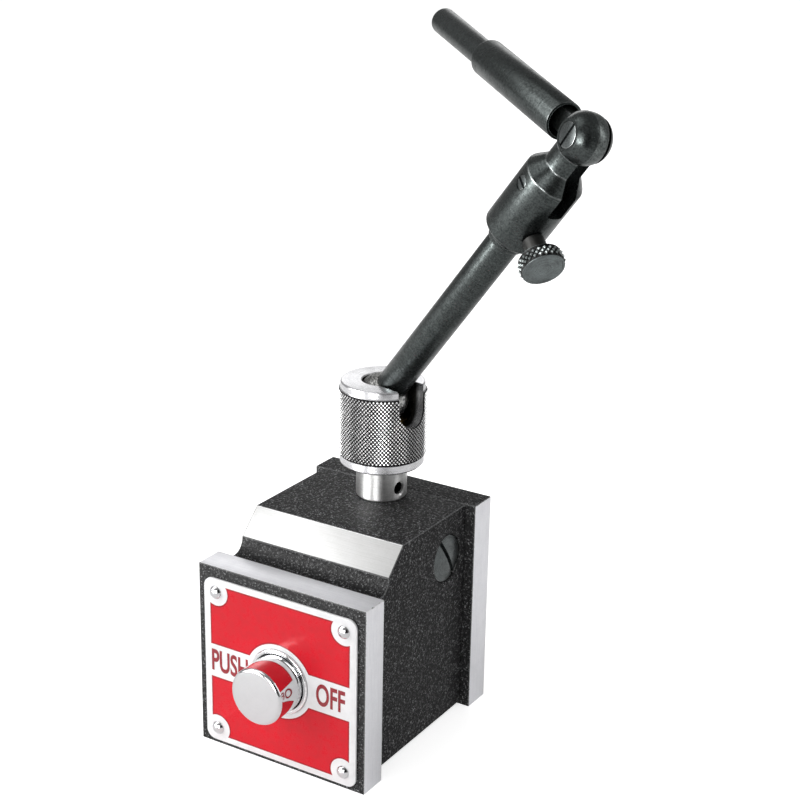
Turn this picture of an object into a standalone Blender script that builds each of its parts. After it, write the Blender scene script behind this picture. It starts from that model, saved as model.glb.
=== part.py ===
"""Push-button magnetic base with a swivelling indicator arm.

Metres, +Z up. The origin is the middle of the front pole's foot, on the surface the base stands on.
-Y is the front, where the push button and the name plate are. Lengths below are in millimetres times MM.
"""

import math

import bmesh
import bpy
from mathutils import Matrix, Vector

MM = 0.001

# Fits between neighbouring pieces
SEAT = 0.1 * MM  # between two faces that rest on each other
RUN = 0.08 * MM  # radial, where one piece turns or slides in another
CUT = 1.0 * MM  # how far a cutter runs past the face it opens
WIDE_FACETS = 36  # round the bushes, the buttons and the guide tube
HEAD_FACETS = 36

# Magnetic base
POLE_WIDTH = 47.625 * MM
FRONT_POLE_HEIGHT = 47.625 * MM
FRONT_POLE_THICK = 7.7 * MM
REAR_POLE_HEIGHT = 56.0 * MM
REAR_POLE_THICK = 7.9 * MM
BASE_DEPTH = 57.15 * MM
HOUSING_WIDTH = 42.4 * MM
FOOT_LIFT = 1.05 * MM  # the housing stands this far above the poles' feet
CHAMFER = 6.15 * MM  # ground face along the housing's front top edge
CHAMFER_SET_BACK = 6.0 * MM  # its lower edge, behind the front pole
COVE_RADIUS = 3.4 * MM
COVE_DROP = 0.25 * MM

# Magnet unit, along Y
BUTTON_HEIGHT = 23.1 * MM  # of its axis
BUTTON_RADIUS = 7.15 * MM
BUTTON_OUT = 10.0 * MM  # front button stands out of the front pole
BUTTON_EDGE = 0.9 * MM
BUTTON_TRAVEL = 8.0 * MM
REAR_BUTTON_OUT = 2.0 * MM
BUSH_WALL = 1.05 * MM
BUSH_PROUD = 0.7 * MM
GUIDE_RADIUS = 13.8 * MM
GUIDE_WALL = 1.2 * MM
MAGNET_LENGTH = 13.0 * MM
SHOE_LENGTH = 6.0 * MM
SHAFT_RADIUS = 3.0 * MM

# Name plate and its drive screws
PLATE_SIDE = 43.6 * MM
PLATE_THICK = 0.6 * MM
PLATE_CORNER = 2.4 * MM
DRIVE_PITCH = 36.6 * MM
DRIVE_HEAD = 1.7 * MM
DRIVE_RISE = 1.0 * MM
DRIVE_SHANK = 0.9 * MM
DRIVE_DEPTH = 4.0 * MM

# Screws that hold the poles to the housing
POLE_SCREW_PITCH = 29.0 * MM
POLE_SCREW_SHANK = 1.7 * MM
POLE_SCREW_HEAD = 2.75 * MM
POLE_SCREW_RECESS = 3.6 * MM
POLE_SCREW_GRIP = 7.0 * MM
SOCKET_RADIUS = 1.4 * MM

# Plug in the housing's side
PLUG_Y = 36.85 * MM
PLUG_Z = 44.55 * MM
PLUG_HEAD = 5.95 * MM
PLUG_RECESS = 1.6 * MM
PLUG_DOME = 0.7 * MM
PLUG_THREAD = 4.6 * MM
PLUG_LENGTH = 9.5 * MM
PLUG_SLOT = 1.1 * MM
PLUG_SLOT_ANGLE = math.radians(-59.0)

# Stud, ball seat and socket nut, along Z
STUD_Y = 39.6 * MM
STUD_RADIUS = 6.35 * MM
STUD_TENON = 4.7 * MM
STUD_TENON_DEPTH = 11.0 * MM
STUD_COLLAR = 9.6 * MM
STUD_THREAD = 7.1 * MM
STUD_THREAD_LENGTH = 7.0 * MM
TOMMY_RADIUS = 1.6 * MM
TOMMY_RISE = 3.1 * MM
BALL_RISE = 25.4 * MM  # ball centre above the housing's top
BALL_RADIUS = 6.35 * MM
SEAT_RING = 6.5 * MM
NUT_LIFT = 8.75 * MM
NUT_HEIGHT = 21.4 * MM
NUT_RADIUS = 11.1 * MM
NUT_RIM_RADIUS = 10.45 * MM
NUT_TOP_RIM = 2.0 * MM
NUT_FOOT_RIM = 2.55 * MM
NUT_MOUTH = 5.15 * MM
NUT_SLOT = 8.7 * MM
NUT_SLOT_FLOOR = 5.2 * MM  # below the ball's centre
POST_TURN = math.radians(-11.95)
POST_TILT = math.radians(38.56)

# Post, along its own axis from the ball's centre
POST_RADIUS = 3.9 * MM
POST_START = 5.1 * MM
POST_LENGTH = 72.0 * MM
POST_TENON = 2.4 * MM
POST_TENON_DEPTH = 3.5 * MM

# Swivel head, heights along the post from the ball's centre
HEAD_TURN = math.radians(-112.4)
COLLAR_START = 59.9 * MM
COLLAR_END = 61.2 * MM
COLLAR_RADIUS = 4.48 * MM
BARREL_START = 63.2 * MM
BARREL_END = 80.8 * MM
BARREL_RADIUS = 6.95 * MM
NECK_START = 84.3 * MM
NECK_RADIUS = 4.35 * MM
KNUCKLE_HEIGHT = 92.85 * MM
KNUCKLE_RADIUS = 5.87 * MM
SLOT_WIDTH = 4.0 * MM
SLOT_OFFSET = -1.15 * MM  # the ear with the screw's head is the thicker one
SLOT_FLOOR = 75.0 * MM
FLAT_AT = 4.65 * MM  # flat under the pivot screw's head, from the post's axis
PIVOT_HEAD = 2.87 * MM
PIVOT_HEAD_THICK = 1.4 * MM
PIVOT_SHANK = 1.5 * MM
PIVOT_SLOT_TURN = math.radians(95)
THUMB_HEIGHT = 67.7 * MM
THUMB_FACE = 15.1 * MM
THUMB_HEAD_THICK = 3.3 * MM
THUMB_RADIUS = 5.3 * MM
THUMB_NECK = 2.6 * MM
THUMB_THREAD = 1.9 * MM
PAD_THICK = 0.8 * MM
GRUB_HEIGHT = 77.6 * MM
GRUB_RADIUS = 1.6 * MM
GRUB_LENGTH = 2.6 * MM

# Arm, along its own axis from the knuckle's centre
ARM_TILT = math.radians(112.84)
TONGUE_THICK = 3.1 * MM
TONGUE_OFFSET = -0.8 * MM  # it lies against the thicker ear
TONGUE_WIDTH = 5.2 * MM
SHANK_START = 17.0 * MM
SHANK_END = 34.0 * MM
SLEEVE_START = 9.06 * MM
SLEEVE_END = 46.0 * MM
SLEEVE_EDGE = 0.6 * MM
SLEEVE_RADIUS = 4.4 * MM
SLEEVE_BORE = 3.75 * MM
SLEEVE_BORE_END = 35.5 * MM
STEM_START = 36.0 * MM
STEM_END = 70.1 * MM
STEM_RADIUS = 3.175 * MM
STEM_ROUND = 0.8 * MM

# Places worked out from the sizes above
FRONT_FACE = -FRONT_POLE_THICK / 2
FRONT_INNER = FRONT_POLE_THICK / 2
REAR_FACE = FRONT_FACE + BASE_DEPTH
REAR_INNER = REAR_FACE - REAR_POLE_THICK
HOUSING_TOP = REAR_POLE_HEIGHT
BALL_Z = HOUSING_TOP + BALL_RISE
NUT_BOTTOM = HOUSING_TOP + NUT_LIFT
NUT_TOP = NUT_BOTTOM + NUT_HEIGHT
BUSH_RADIUS = BUTTON_RADIUS + RUN + BUSH_WALL
ALONG_X = Matrix.Rotation(math.radians(90), 4, "Y")
ALONG_Y = Matrix.Rotation(math.radians(-90), 4, "X")

BLACK_PAINT = ("wrinkle_paint", (0.018, 0.019, 0.02), 0.55, 0.0)
GROUND_STEEL = ("ground_steel", (0.62, 0.62, 0.60), 0.32, 1.0)
SATIN_STEEL = ("satin_steel", (0.68, 0.68, 0.67), 0.26, 1.0)
CHROME = ("chrome", (0.80, 0.80, 0.80), 0.06, 1.0)
BLACK_OXIDE = ("black_oxide", (0.07, 0.08, 0.08), 0.36, 0.9)
BLUED_STEEL = ("blued_steel", (0.06, 0.075, 0.08), 0.3, 0.9)
BRASS = ("brass", (0.72, 0.52, 0.22), 0.3, 1.0)
MAGNET = ("magnet_alloy", (0.32, 0.32, 0.33), 0.45, 1.0)
ENAMEL = ("plate_enamel", (0.72, 0.05, 0.07), 0.3, 0.2)


def clear_scene():
    for obj in list(bpy.data.objects):
        bpy.data.objects.remove(obj, do_unlink=True)


def material(finish):
    name, colour, roughness, metallic = finish
    made = bpy.data.materials.get(name)
    if made:
        return made
    made = bpy.data.materials.new(name)
    made.use_nodes = True
    shader = made.node_tree.nodes["Principled BSDF"]
    shader.inputs["Base Color"].default_value = (*colour, 1.0)
    shader.inputs["Roughness"].default_value = roughness
    shader.inputs["Metallic"].default_value = metallic
    return made


def link(name, shape, finish=None, parent=None, at=(0, 0, 0), turn=None):
    """Make an object of a bmesh, at a place in its parent's frame."""
    mesh = bpy.data.meshes.new(name)
    bmesh.ops.recalc_face_normals(shape, faces=shape.faces[:])
    shape.to_mesh(mesh)
    shape.free()
    mesh.shade_smooth()
    mesh.set_sharp_from_angle(angle=math.radians(35))
    obj = bpy.data.objects.new(name, mesh)
    bpy.context.scene.collection.objects.link(obj)
    if finish:
        mesh.materials.append(material(finish))
    place = Matrix.Translation(at) @ (turn or Matrix.Identity(4))
    obj.location = place.to_translation()
    obj.rotation_euler = place.to_euler()
    obj.parent = parent
    return obj


def axis_empty(name, parent=None, at=(0, 0, 0), angle=0.0, about="Z"):
    """An empty on a joint's axis. What moves with the joint is parented to it."""
    empty = bpy.data.objects.new(name, None)
    empty.empty_display_size = 10 * MM
    bpy.context.scene.collection.objects.link(empty)
    empty.location = at
    empty.rotation_euler = Matrix.Rotation(angle, 4, about).to_euler()
    empty.parent = parent
    return empty


def turned(profile, segments=28):
    """Solid turned about Z. The profile is (radius, height) points; it is closed if it doesn't end on the axis."""
    shape = bmesh.new()
    points = [shape.verts.new((radius, 0, height)) for radius, height in profile]
    edges = [shape.edges.new(pair) for pair in zip(points, points[1:])]
    if profile[0][0] > 0 or profile[-1][0] > 0:
        edges.append(shape.edges.new((points[-1], points[0])))
    bmesh.ops.spin(
        shape, geom=points + edges, cent=(0, 0, 0), axis=(0, 0, 1), angle=math.tau,
        steps=segments, use_merge=True, use_duplicate=False,
    )
    bmesh.ops.remove_doubles(shape, verts=shape.verts[:], dist=0.001 * MM)
    return shape


def rod_shape(radius, start, end, segments=28):
    return turned([(0, start), (radius, start), (radius, end), (0, end)], segments)


def tube_shape(outer, inner, start, end, segments=WIDE_FACETS):
    return turned([(inner, start), (outer, start), (outer, end), (inner, end)], segments)


def block(low, high):
    shape = bmesh.new()
    bmesh.ops.create_cube(shape, size=1)
    low, high = Vector(low), Vector(high)
    size = high - low
    for vert in shape.verts:
        vert.co = (low + high) / 2 + Vector(c * s for c, s in zip(vert.co, size))
    return shape


def prism(outline, start, end):
    """Closed outline of (y, z) points run along X."""
    shape = bmesh.new()
    face = shape.faces.new([shape.verts.new((start, y, z)) for y, z in outline])
    run = bmesh.ops.extrude_face_region(shape, geom=[face])
    moved = [item for item in run["geom"] if isinstance(item, bmesh.types.BMVert)]
    bmesh.ops.translate(shape, verts=moved, vec=(end - start, 0, 0))
    return shape


def arc(centre, radius, start, end, steps):
    """Points on an arc in a plane, angles in degrees."""
    angles = [math.radians(start + (end - start) * i / steps) for i in range(steps + 1)]
    return [(centre[0] + radius * math.cos(a), centre[1] + radius * math.sin(a)) for a in angles]


def cut(obj, shape, parent=None, at=(0, 0, 0), turn=None):
    """Take a closed shape away from an object."""
    name = f"{obj.name}_cutter_{len(obj.modifiers)}"
    cutter = link(name, shape, None, parent, at, turn)
    cutter.hide_render = True
    cutter.display_type = "WIRE"
    modifier = obj.modifiers.new("cut", "BOOLEAN")
    modifier.operation = "DIFFERENCE"
    modifier.solver = "EXACT"
    modifier.object = cutter


def drill(obj, radius, start, end, parent=None, at=(0, 0, 0), turn=None, segments=28):
    cut(obj, rod_shape(radius, start, end, segments), parent, at, turn)


def corners(pitch):
    """Four places on a square about the button's axis, as (x, z)."""
    half = pitch / 2
    return [(x * half, BUTTON_HEIGHT + z * half) for z in (1, -1) for x in (-1, 1)]


def housing_outline():
    """Side view of the housing, as (y, z)."""
    front = FRONT_INNER + SEAT
    back = REAR_INNER - SEAT
    foot_y = FRONT_INNER + CHAMFER_SET_BACK
    foot_z = HOUSING_TOP - CHAMFER
    centre = (foot_y - COVE_RADIUS, foot_z - COVE_DROP)
    reach = math.degrees(math.acos((centre[0] - front) / COVE_RADIUS))
    cove = arc(centre, COVE_RADIUS, 180 + reach, 360, 8)
    return [
        (front, FOOT_LIFT), (front, cove[0][1]), *cove[1:], (foot_y, foot_z),
        (foot_y + CHAMFER, HOUSING_TOP), (back, HOUSING_TOP), (back, FOOT_LIFT),
    ]


def build_housing():
    half = HOUSING_WIDTH / 2
    housing = link("housing", prism(housing_outline(), -half, half), BLACK_PAINT)
    start, end = FRONT_INNER - CUT, REAR_INNER + CUT
    drill(housing, GUIDE_RADIUS + SEAT, start, end, at=(0, 0, BUTTON_HEIGHT), turn=ALONG_Y, segments=WIDE_FACETS)
    drill(housing, STUD_TENON + SEAT, -STUD_TENON_DEPTH - CUT, CUT, at=(0, STUD_Y, HOUSING_TOP))
    plug = (half, PLUG_Y, PLUG_Z)
    drill(housing, PLUG_HEAD + 2 * SEAT, -PLUG_RECESS, CUT, at=plug, turn=ALONG_X)
    drill(housing, PLUG_THREAD + SEAT, -PLUG_RECESS - PLUG_LENGTH, 0, at=plug, turn=ALONG_X)
    hole = POLE_SCREW_SHANK + SEAT
    for x, z in corners(POLE_SCREW_PITCH):
        drill(housing, hole, -CUT, POLE_SCREW_GRIP + CUT, at=(x, FRONT_INNER, z), turn=ALONG_Y, segments=16)
        drill(housing, hole, -POLE_SCREW_GRIP - CUT, CUT, at=(x, REAR_INNER, z), turn=ALONG_Y, segments=16)


def build_poles():
    half = POLE_WIDTH / 2
    front = link("front_pole", block((-half, FRONT_FACE, 0), (half, FRONT_INNER, FRONT_POLE_HEIGHT)), GROUND_STEEL)
    rear = link("rear_pole", block((-half, REAR_INNER, 0), (half, REAR_FACE, REAR_POLE_HEIGHT)), GROUND_STEEL)
    for pole, face, inner in ((front, FRONT_FACE, FRONT_INNER), (rear, REAR_FACE, REAR_INNER)):
        out = 1 if face > inner else -1
        low, high = sorted((face + out * CUT, inner - out * CUT))
        drill(pole, BUSH_RADIUS + SEAT, low, high, at=(0, 0, BUTTON_HEIGHT), turn=ALONG_Y, segments=WIDE_FACETS)
        recess = sorted((face + out * CUT, face - out * POLE_SCREW_RECESS))
        for x, z in corners(POLE_SCREW_PITCH):
            drill(pole, POLE_SCREW_SHANK + SEAT, low, high, at=(x, 0, z), turn=ALONG_Y, segments=16)
            drill(pole, POLE_SCREW_HEAD + SEAT, *recess, at=(x, 0, z), turn=ALONG_Y, segments=24)
    for x, z in corners(DRIVE_PITCH):
        end = FRONT_FACE + DRIVE_DEPTH + SEAT
        drill(front, DRIVE_SHANK + SEAT, FRONT_FACE - CUT, end, at=(x, 0, z), turn=ALONG_Y, segments=12)


def build_pole_screws():
    """Socket screws, heads sunk in the poles, threads in the housing."""
    head_end = POLE_SCREW_RECESS - 2 * SEAT
    for side, face, inner, turn in (
        ("front", FRONT_FACE, FRONT_INNER, ALONG_Y),
        ("rear", REAR_FACE, REAR_INNER, ALONG_Y @ Matrix.Rotation(math.pi, 4, "X")),
    ):
        length = abs(inner - face) + POLE_SCREW_GRIP
        profile = [
            (0, head_end / 2), (SOCKET_RADIUS, head_end / 2), (SOCKET_RADIUS, SEAT), (POLE_SCREW_HEAD, SEAT),
            (POLE_SCREW_HEAD, head_end), (POLE_SCREW_SHANK, head_end), (POLE_SCREW_SHANK, length), (0, length),
        ]
        for number, (x, z) in enumerate(corners(POLE_SCREW_PITCH), 1):
            name = f"{side}_pole_screw_{number}"
            link(name, turned(profile, 12), BLUED_STEEL, at=(x, face, z), turn=turn)


def build_name_plate():
    half = PLATE_SIDE / 2
    inner = half - PLATE_CORNER
    outline = []
    for x, z, start in ((inner, inner, 0), (-inner, inner, 90), (-inner, -inner, 180), (inner, -inner, 270)):
        outline += arc((x, BUTTON_HEIGHT + z), PLATE_CORNER, start, start + 90, 4)
    back = FRONT_FACE - SEAT
    shape = prism(outline, -back, -back + PLATE_THICK)
    bmesh.ops.rotate(shape, verts=shape.verts[:], cent=(0, 0, 0), matrix=Matrix.Rotation(math.radians(-90), 3, "Z"))
    plate = link("name_plate", shape, ENAMEL)
    low, high = back - PLATE_THICK - CUT, back + CUT
    drill(plate, BUSH_RADIUS + SEAT, low, high, at=(0, 0, BUTTON_HEIGHT), turn=ALONG_Y, segments=WIDE_FACETS)
    for x, z in corners(DRIVE_PITCH):
        drill(plate, DRIVE_SHANK + SEAT, low, high, at=(x, 0, z), turn=ALONG_Y, segments=12)


def build_drive_screws():
    """Domed drive screws, made head down and turned to face the front."""
    head_back = FRONT_FACE - PLATE_THICK - 2 * SEAT
    dome_radius = (DRIVE_HEAD**2 + DRIVE_RISE**2) / (2 * DRIVE_RISE)
    reach = math.degrees(math.asin(DRIVE_HEAD / dome_radius))
    dome = arc((0, dome_radius - DRIVE_RISE), dome_radius, -90, -90 + reach, 4)
    length = FRONT_FACE + DRIVE_DEPTH - head_back
    profile = [(0, -DRIVE_RISE), *dome[1:], (DRIVE_SHANK, 0), (DRIVE_SHANK, length), (0, length)]
    for number, (x, z) in enumerate(corners(DRIVE_PITCH), 1):
        link(f"drive_screw_{number}", turned(profile, 16), SATIN_STEEL, at=(x, head_back, z), turn=ALONG_Y)


def build_bushes():
    at = (0, 0, BUTTON_HEIGHT)
    inner = BUTTON_RADIUS + RUN
    front = tube_shape(BUSH_RADIUS, inner, FRONT_FACE - PLATE_THICK - BUSH_PROUD, FRONT_INNER)
    rear = tube_shape(BUSH_RADIUS, inner, REAR_INNER, REAR_FACE + BUSH_PROUD)
    link("front_bush", front, CHROME, at=at, turn=ALONG_Y)
    link("rear_bush", rear, CHROME, at=at, turn=ALONG_Y)
    guide = tube_shape(GUIDE_RADIUS, GUIDE_RADIUS - GUIDE_WALL, FRONT_INNER + 2 * SEAT, REAR_INNER - 2 * SEAT)
    link("guide_tube", guide, BRASS, at=at, turn=ALONG_Y)


def build_magnet_unit():
    """Buttons, shaft, magnet and pole shoes, which slide along Y as one."""
    axis = axis_empty("button_axis", at=(0, 0, BUTTON_HEIGHT))
    front_end = FRONT_FACE - BUTTON_OUT
    rear_end = REAR_FACE + REAR_BUTTON_OUT
    front_back = FRONT_INNER - 2.5 * MM
    rear_back = REAR_INNER - BUTTON_TRAVEL
    edge = BUTTON_EDGE
    bore = SHAFT_RADIUS + SEAT
    socket = 4.0 * MM
    face = arc((BUTTON_RADIUS - edge, edge), edge, -90, 0, 3)
    for name, tip, back, turn in (
        ("front_button", front_end, front_back, ALONG_Y),
        ("rear_button", rear_end, rear_back, ALONG_Y @ Matrix.Rotation(math.pi, 4, "X")),
    ):
        length = abs(back - tip)
        profile = [(0, 0), *face, (BUTTON_RADIUS, length), (bore, length), (bore, length - socket), (0, length - socket)]
        link(name, turned(profile, WIDE_FACETS), CHROME, axis, (0, tip, 0), turn)
    shaft_start = front_back - socket + SEAT
    shaft_end = rear_back + socket - SEAT
    link("plunger_shaft", rod_shape(SHAFT_RADIUS, shaft_start, shaft_end, 24), SATIN_STEEL, axis, turn=ALONG_Y)
    outer = GUIDE_RADIUS - GUIDE_WALL - 2 * RUN
    start = FRONT_INNER + 2.0 * MM
    for name, length, finish in (
        ("front_shoe", SHOE_LENGTH, GROUND_STEEL),
        ("magnet", MAGNET_LENGTH, MAGNET),
        ("rear_shoe", SHOE_LENGTH, GROUND_STEEL),
    ):
        link(name, tube_shape(outer, bore, start, start + length, 32), finish, axis, turn=ALONG_Y)
        start += length + SEAT


def build_side_plug():
    """Slotted plug of the second post hole."""
    head = PLUG_RECESS - SEAT
    rim = 0.35 * MM
    dome_radius = (PLUG_HEAD**2 + PLUG_DOME**2) / (2 * PLUG_DOME)
    reach = math.degrees(math.asin(PLUG_HEAD / dome_radius))
    dome = arc((0, PLUG_DOME - dome_radius - rim), dome_radius, 90 - reach, 90, 5)
    length = PLUG_RECESS + PLUG_LENGTH - 2 * SEAT
    profile = [(0, -length), (PLUG_THREAD, -length), (PLUG_THREAD, -head), (PLUG_HEAD, -head), *dome[:-1], (0, PLUG_DOME - rim)]
    at = (HOUSING_WIDTH / 2, PLUG_Y, PLUG_Z)
    plug = link("side_plug", turned(profile, 32), BLUED_STEEL, at=at, turn=ALONG_X)
    half = PLUG_SLOT / 2
    slot = block((-0.9 * MM, -PLUG_HEAD - CUT, -half), (PLUG_DOME + CUT, PLUG_HEAD + CUT, half))
    cut(plug, slot, at=at, turn=Matrix.Rotation(PLUG_SLOT_ANGLE, 4, "X"))


def build_stud():
    """Screwed into the housing; its cross hole takes a tommy bar, its thread the socket nut."""
    collar = STUD_COLLAR
    top = collar + STUD_THREAD_LENGTH
    soft = 0.5 * MM
    profile = [
        (0, -STUD_TENON_DEPTH), (STUD_TENON - soft, -STUD_TENON_DEPTH), (STUD_TENON, soft - STUD_TENON_DEPTH),
        (STUD_TENON, SEAT), (STUD_RADIUS - soft / 2, SEAT), (STUD_RADIUS, SEAT + soft / 2), (STUD_RADIUS, collar),
        (STUD_THREAD, collar + soft), (STUD_THREAD, top - soft), (STUD_THREAD - soft, top), (0, top),
    ]
    stud = link("stud", turned(profile, 32), SATIN_STEEL, at=(0, STUD_Y, HOUSING_TOP))
    across = Matrix.Rotation(POST_TURN, 4, "Z") @ ALONG_X
    reach = STUD_RADIUS + CUT
    drill(stud, TOMMY_RADIUS, -reach, reach, at=(0, STUD_Y, HOUSING_TOP + TOMMY_RISE), turn=across, segments=20)
    ball = BALL_RADIUS + SEAT
    low = top + SEAT - BALL_RISE
    high = -POST_RADIUS - 4 * SEAT  # clear of the post when it lies level
    inner = arc((0, 0), ball, -70, math.degrees(math.asin(high / ball)), 5)
    ring = [(SEAT_RING, low), (SEAT_RING, high), *reversed(inner), (inner[0][0], low)]
    link("ball_seat", turned(ring, 32), BRASS, at=(0, STUD_Y, BALL_Z))


def build_socket_nut(axis):
    """Knurled nut that closes over the ball, with a slot the post drops into. Its frame's origin is the ball's centre."""
    bottom = NUT_BOTTOM - BALL_Z
    top = NUT_TOP - BALL_Z
    ball = BALL_RADIUS + RUN
    thread = STUD_THREAD + RUN
    shoulder = -BALL_RADIUS / 2
    soft = 0.35 * MM
    foot = bottom + NUT_FOOT_RIM
    crown = top - NUT_TOP_RIM
    lip = math.degrees(math.acos(NUT_MOUTH / ball))
    cup = arc((0, 0), ball, 0, lip, 5)
    outside = [
        (NUT_RIM_RADIUS - soft, bottom), (NUT_RIM_RADIUS, bottom + soft), (NUT_RIM_RADIUS, foot - soft),
        (NUT_RADIUS, foot), (NUT_RADIUS, crown), (NUT_RIM_RADIUS, crown + soft),
        (NUT_RIM_RADIUS, top - soft), (NUT_RIM_RADIUS - soft, top),
    ]
    inside = [(NUT_MOUTH, top), *reversed(cup), (ball, shoulder), (thread, shoulder), (thread, bottom)]
    nut = link("socket_nut", turned(outside + inside, 44), SATIN_STEEL, axis)
    half = NUT_SLOT / 2
    floor = arc((0, half - NUT_SLOT_FLOOR), half, 180, 360, 8)
    slot = prism([(half, top + CUT), (-half, top + CUT), *floor], 0, NUT_RADIUS + CUT)
    cut(nut, slot, axis)


def build_post(axis):
    flat = POST_START - SEAT
    foot = POST_START - POST_TENON_DEPTH
    hole = POST_TENON + SEAT
    outside = arc((0, 0), BALL_RADIUS, -90, math.degrees(math.asin(flat / BALL_RADIUS)), 12)
    profile = [(0, -BALL_RADIUS), *outside[1:], (hole, flat), (hole, foot - SEAT), (0, foot - SEAT)]
    link("post_ball", turned(profile, 28), SATIN_STEEL, axis)
    soft = 0.6 * MM
    profile = [
        (0, foot), (POST_TENON, foot), (POST_TENON, POST_START), (POST_RADIUS, POST_START),
        (POST_RADIUS, POST_LENGTH - soft), (POST_RADIUS - soft, POST_LENGTH), (0, POST_LENGTH),
    ]
    link("post_rod", turned(profile, 28), BLACK_OXIDE, axis)


def head_profile():
    """Turned outline of the head: blind bore, collar, barrel, neck and ball end."""
    bore = (POST_RADIUS + RUN) / math.cos(math.pi / HEAD_FACETS)
    neck = math.degrees(math.acos(NECK_RADIUS / KNUCKLE_RADIUS))
    ball = arc((0, KNUCKLE_HEIGHT), KNUCKLE_RADIUS, -neck, 90, 11)
    bore_end = POST_LENGTH + 3 * SEAT
    return [
        (0, bore_end), (bore, bore_end), (bore, COLLAR_START), (COLLAR_RADIUS, COLLAR_START),
        (COLLAR_RADIUS, COLLAR_END), (BARREL_RADIUS, BARREL_START), (BARREL_RADIUS, BARREL_END),
        (NECK_RADIUS, NECK_START), *ball[:-1], (0, KNUCKLE_HEIGHT + KNUCKLE_RADIUS),
    ]


def build_swivel_head(axis):
    head = link("swivel_head", turned(head_profile(), HEAD_FACETS), BLACK_OXIDE, axis)
    half = SLOT_WIDTH / 2
    wide = BARREL_RADIUS + CUT
    top = KNUCKLE_HEIGHT + KNUCKLE_RADIUS + CUT
    cut(head, block((SLOT_OFFSET - half, -wide, SLOT_FLOOR), (SLOT_OFFSET + half, wide, top)), axis)
    cut(head, block((FLAT_AT, -wide, NECK_START), (KNUCKLE_RADIUS + CUT, wide, top)), axis)
    pivot = (0, 0, KNUCKLE_HEIGHT)
    drill(head, PIVOT_SHANK + SEAT, -wide, wide, axis, pivot, ALONG_X, 20)
    drill(head, PIVOT_HEAD + SEAT, FLAT_AT - PIVOT_HEAD_THICK, wide, axis, pivot, ALONG_X)
    drill(head, THUMB_THREAD + SEAT, 0, wide, axis, (0, 0, THUMB_HEIGHT), ALONG_Y, 20)
    grub_start = BARREL_RADIUS - GRUB_LENGTH - 2 * SEAT
    drill(head, GRUB_RADIUS + SEAT, grub_start, wide, axis, (0, 0, GRUB_HEIGHT), ALONG_X, 16)


def build_head_screws(axis):
    start = SEAT - KNUCKLE_RADIUS + 1.1 * MM
    head_back = FLAT_AT - PIVOT_HEAD_THICK + SEAT
    profile = [
        (0, start), (PIVOT_SHANK, start), (PIVOT_SHANK, head_back), (PIVOT_HEAD, head_back),
        (PIVOT_HEAD, FLAT_AT), (0, FLAT_AT),
    ]
    pivot = link("pivot_screw", turned(profile, 24), BLUED_STEEL, axis, (0, 0, KNUCKLE_HEIGHT), ALONG_X)
    slot = block((FLAT_AT - 0.7 * MM, -PIVOT_HEAD - CUT, -0.35 * MM), (FLAT_AT + CUT, PIVOT_HEAD + CUT, 0.35 * MM))
    cut(pivot, slot, axis, (0, 0, KNUCKLE_HEIGHT), Matrix.Rotation(PIVOT_SLOT_TURN, 4, "X"))
    grub_end = BARREL_RADIUS - 2 * SEAT
    grub = rod_shape(GRUB_RADIUS, grub_end - GRUB_LENGTH, grub_end, 16)
    grub = link("grub_screw", grub, BLUED_STEEL, axis, (0, 0, GRUB_HEIGHT), ALONG_X)
    slot = block((grub_end - 0.6 * MM, -GRUB_RADIUS - CUT, -0.3 * MM), (grub_end + CUT, GRUB_RADIUS + CUT, 0.3 * MM))
    cut(grub, slot, axis, (0, 0, GRUB_HEIGHT))


def build_thumb_screw(axis):
    """Knurled screw that presses a brass pad on the post."""
    head_back = THUMB_FACE - THUMB_HEAD_THICK
    pad_start = POST_RADIUS + SEAT
    pad_end = pad_start + PAD_THICK
    neck = BARREL_RADIUS + 0.35 * MM
    soft = 0.35 * MM
    profile = [
        (0, pad_end + SEAT), (THUMB_THREAD, pad_end + SEAT), (THUMB_THREAD, neck), (THUMB_NECK, neck),
        (THUMB_NECK, head_back), (THUMB_RADIUS - soft, head_back), (THUMB_RADIUS, head_back + soft),
        (THUMB_RADIUS, THUMB_FACE - soft), (THUMB_RADIUS - soft, THUMB_FACE), (0, THUMB_FACE),
    ]
    link("thumb_screw", turned(profile, 28), BLACK_OXIDE, axis, turn=ALONG_Y)
    link("clamp_pad", rod_shape(THUMB_THREAD - SEAT, pad_start, pad_end, 16), BRASS, axis, turn=ALONG_Y)


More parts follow.
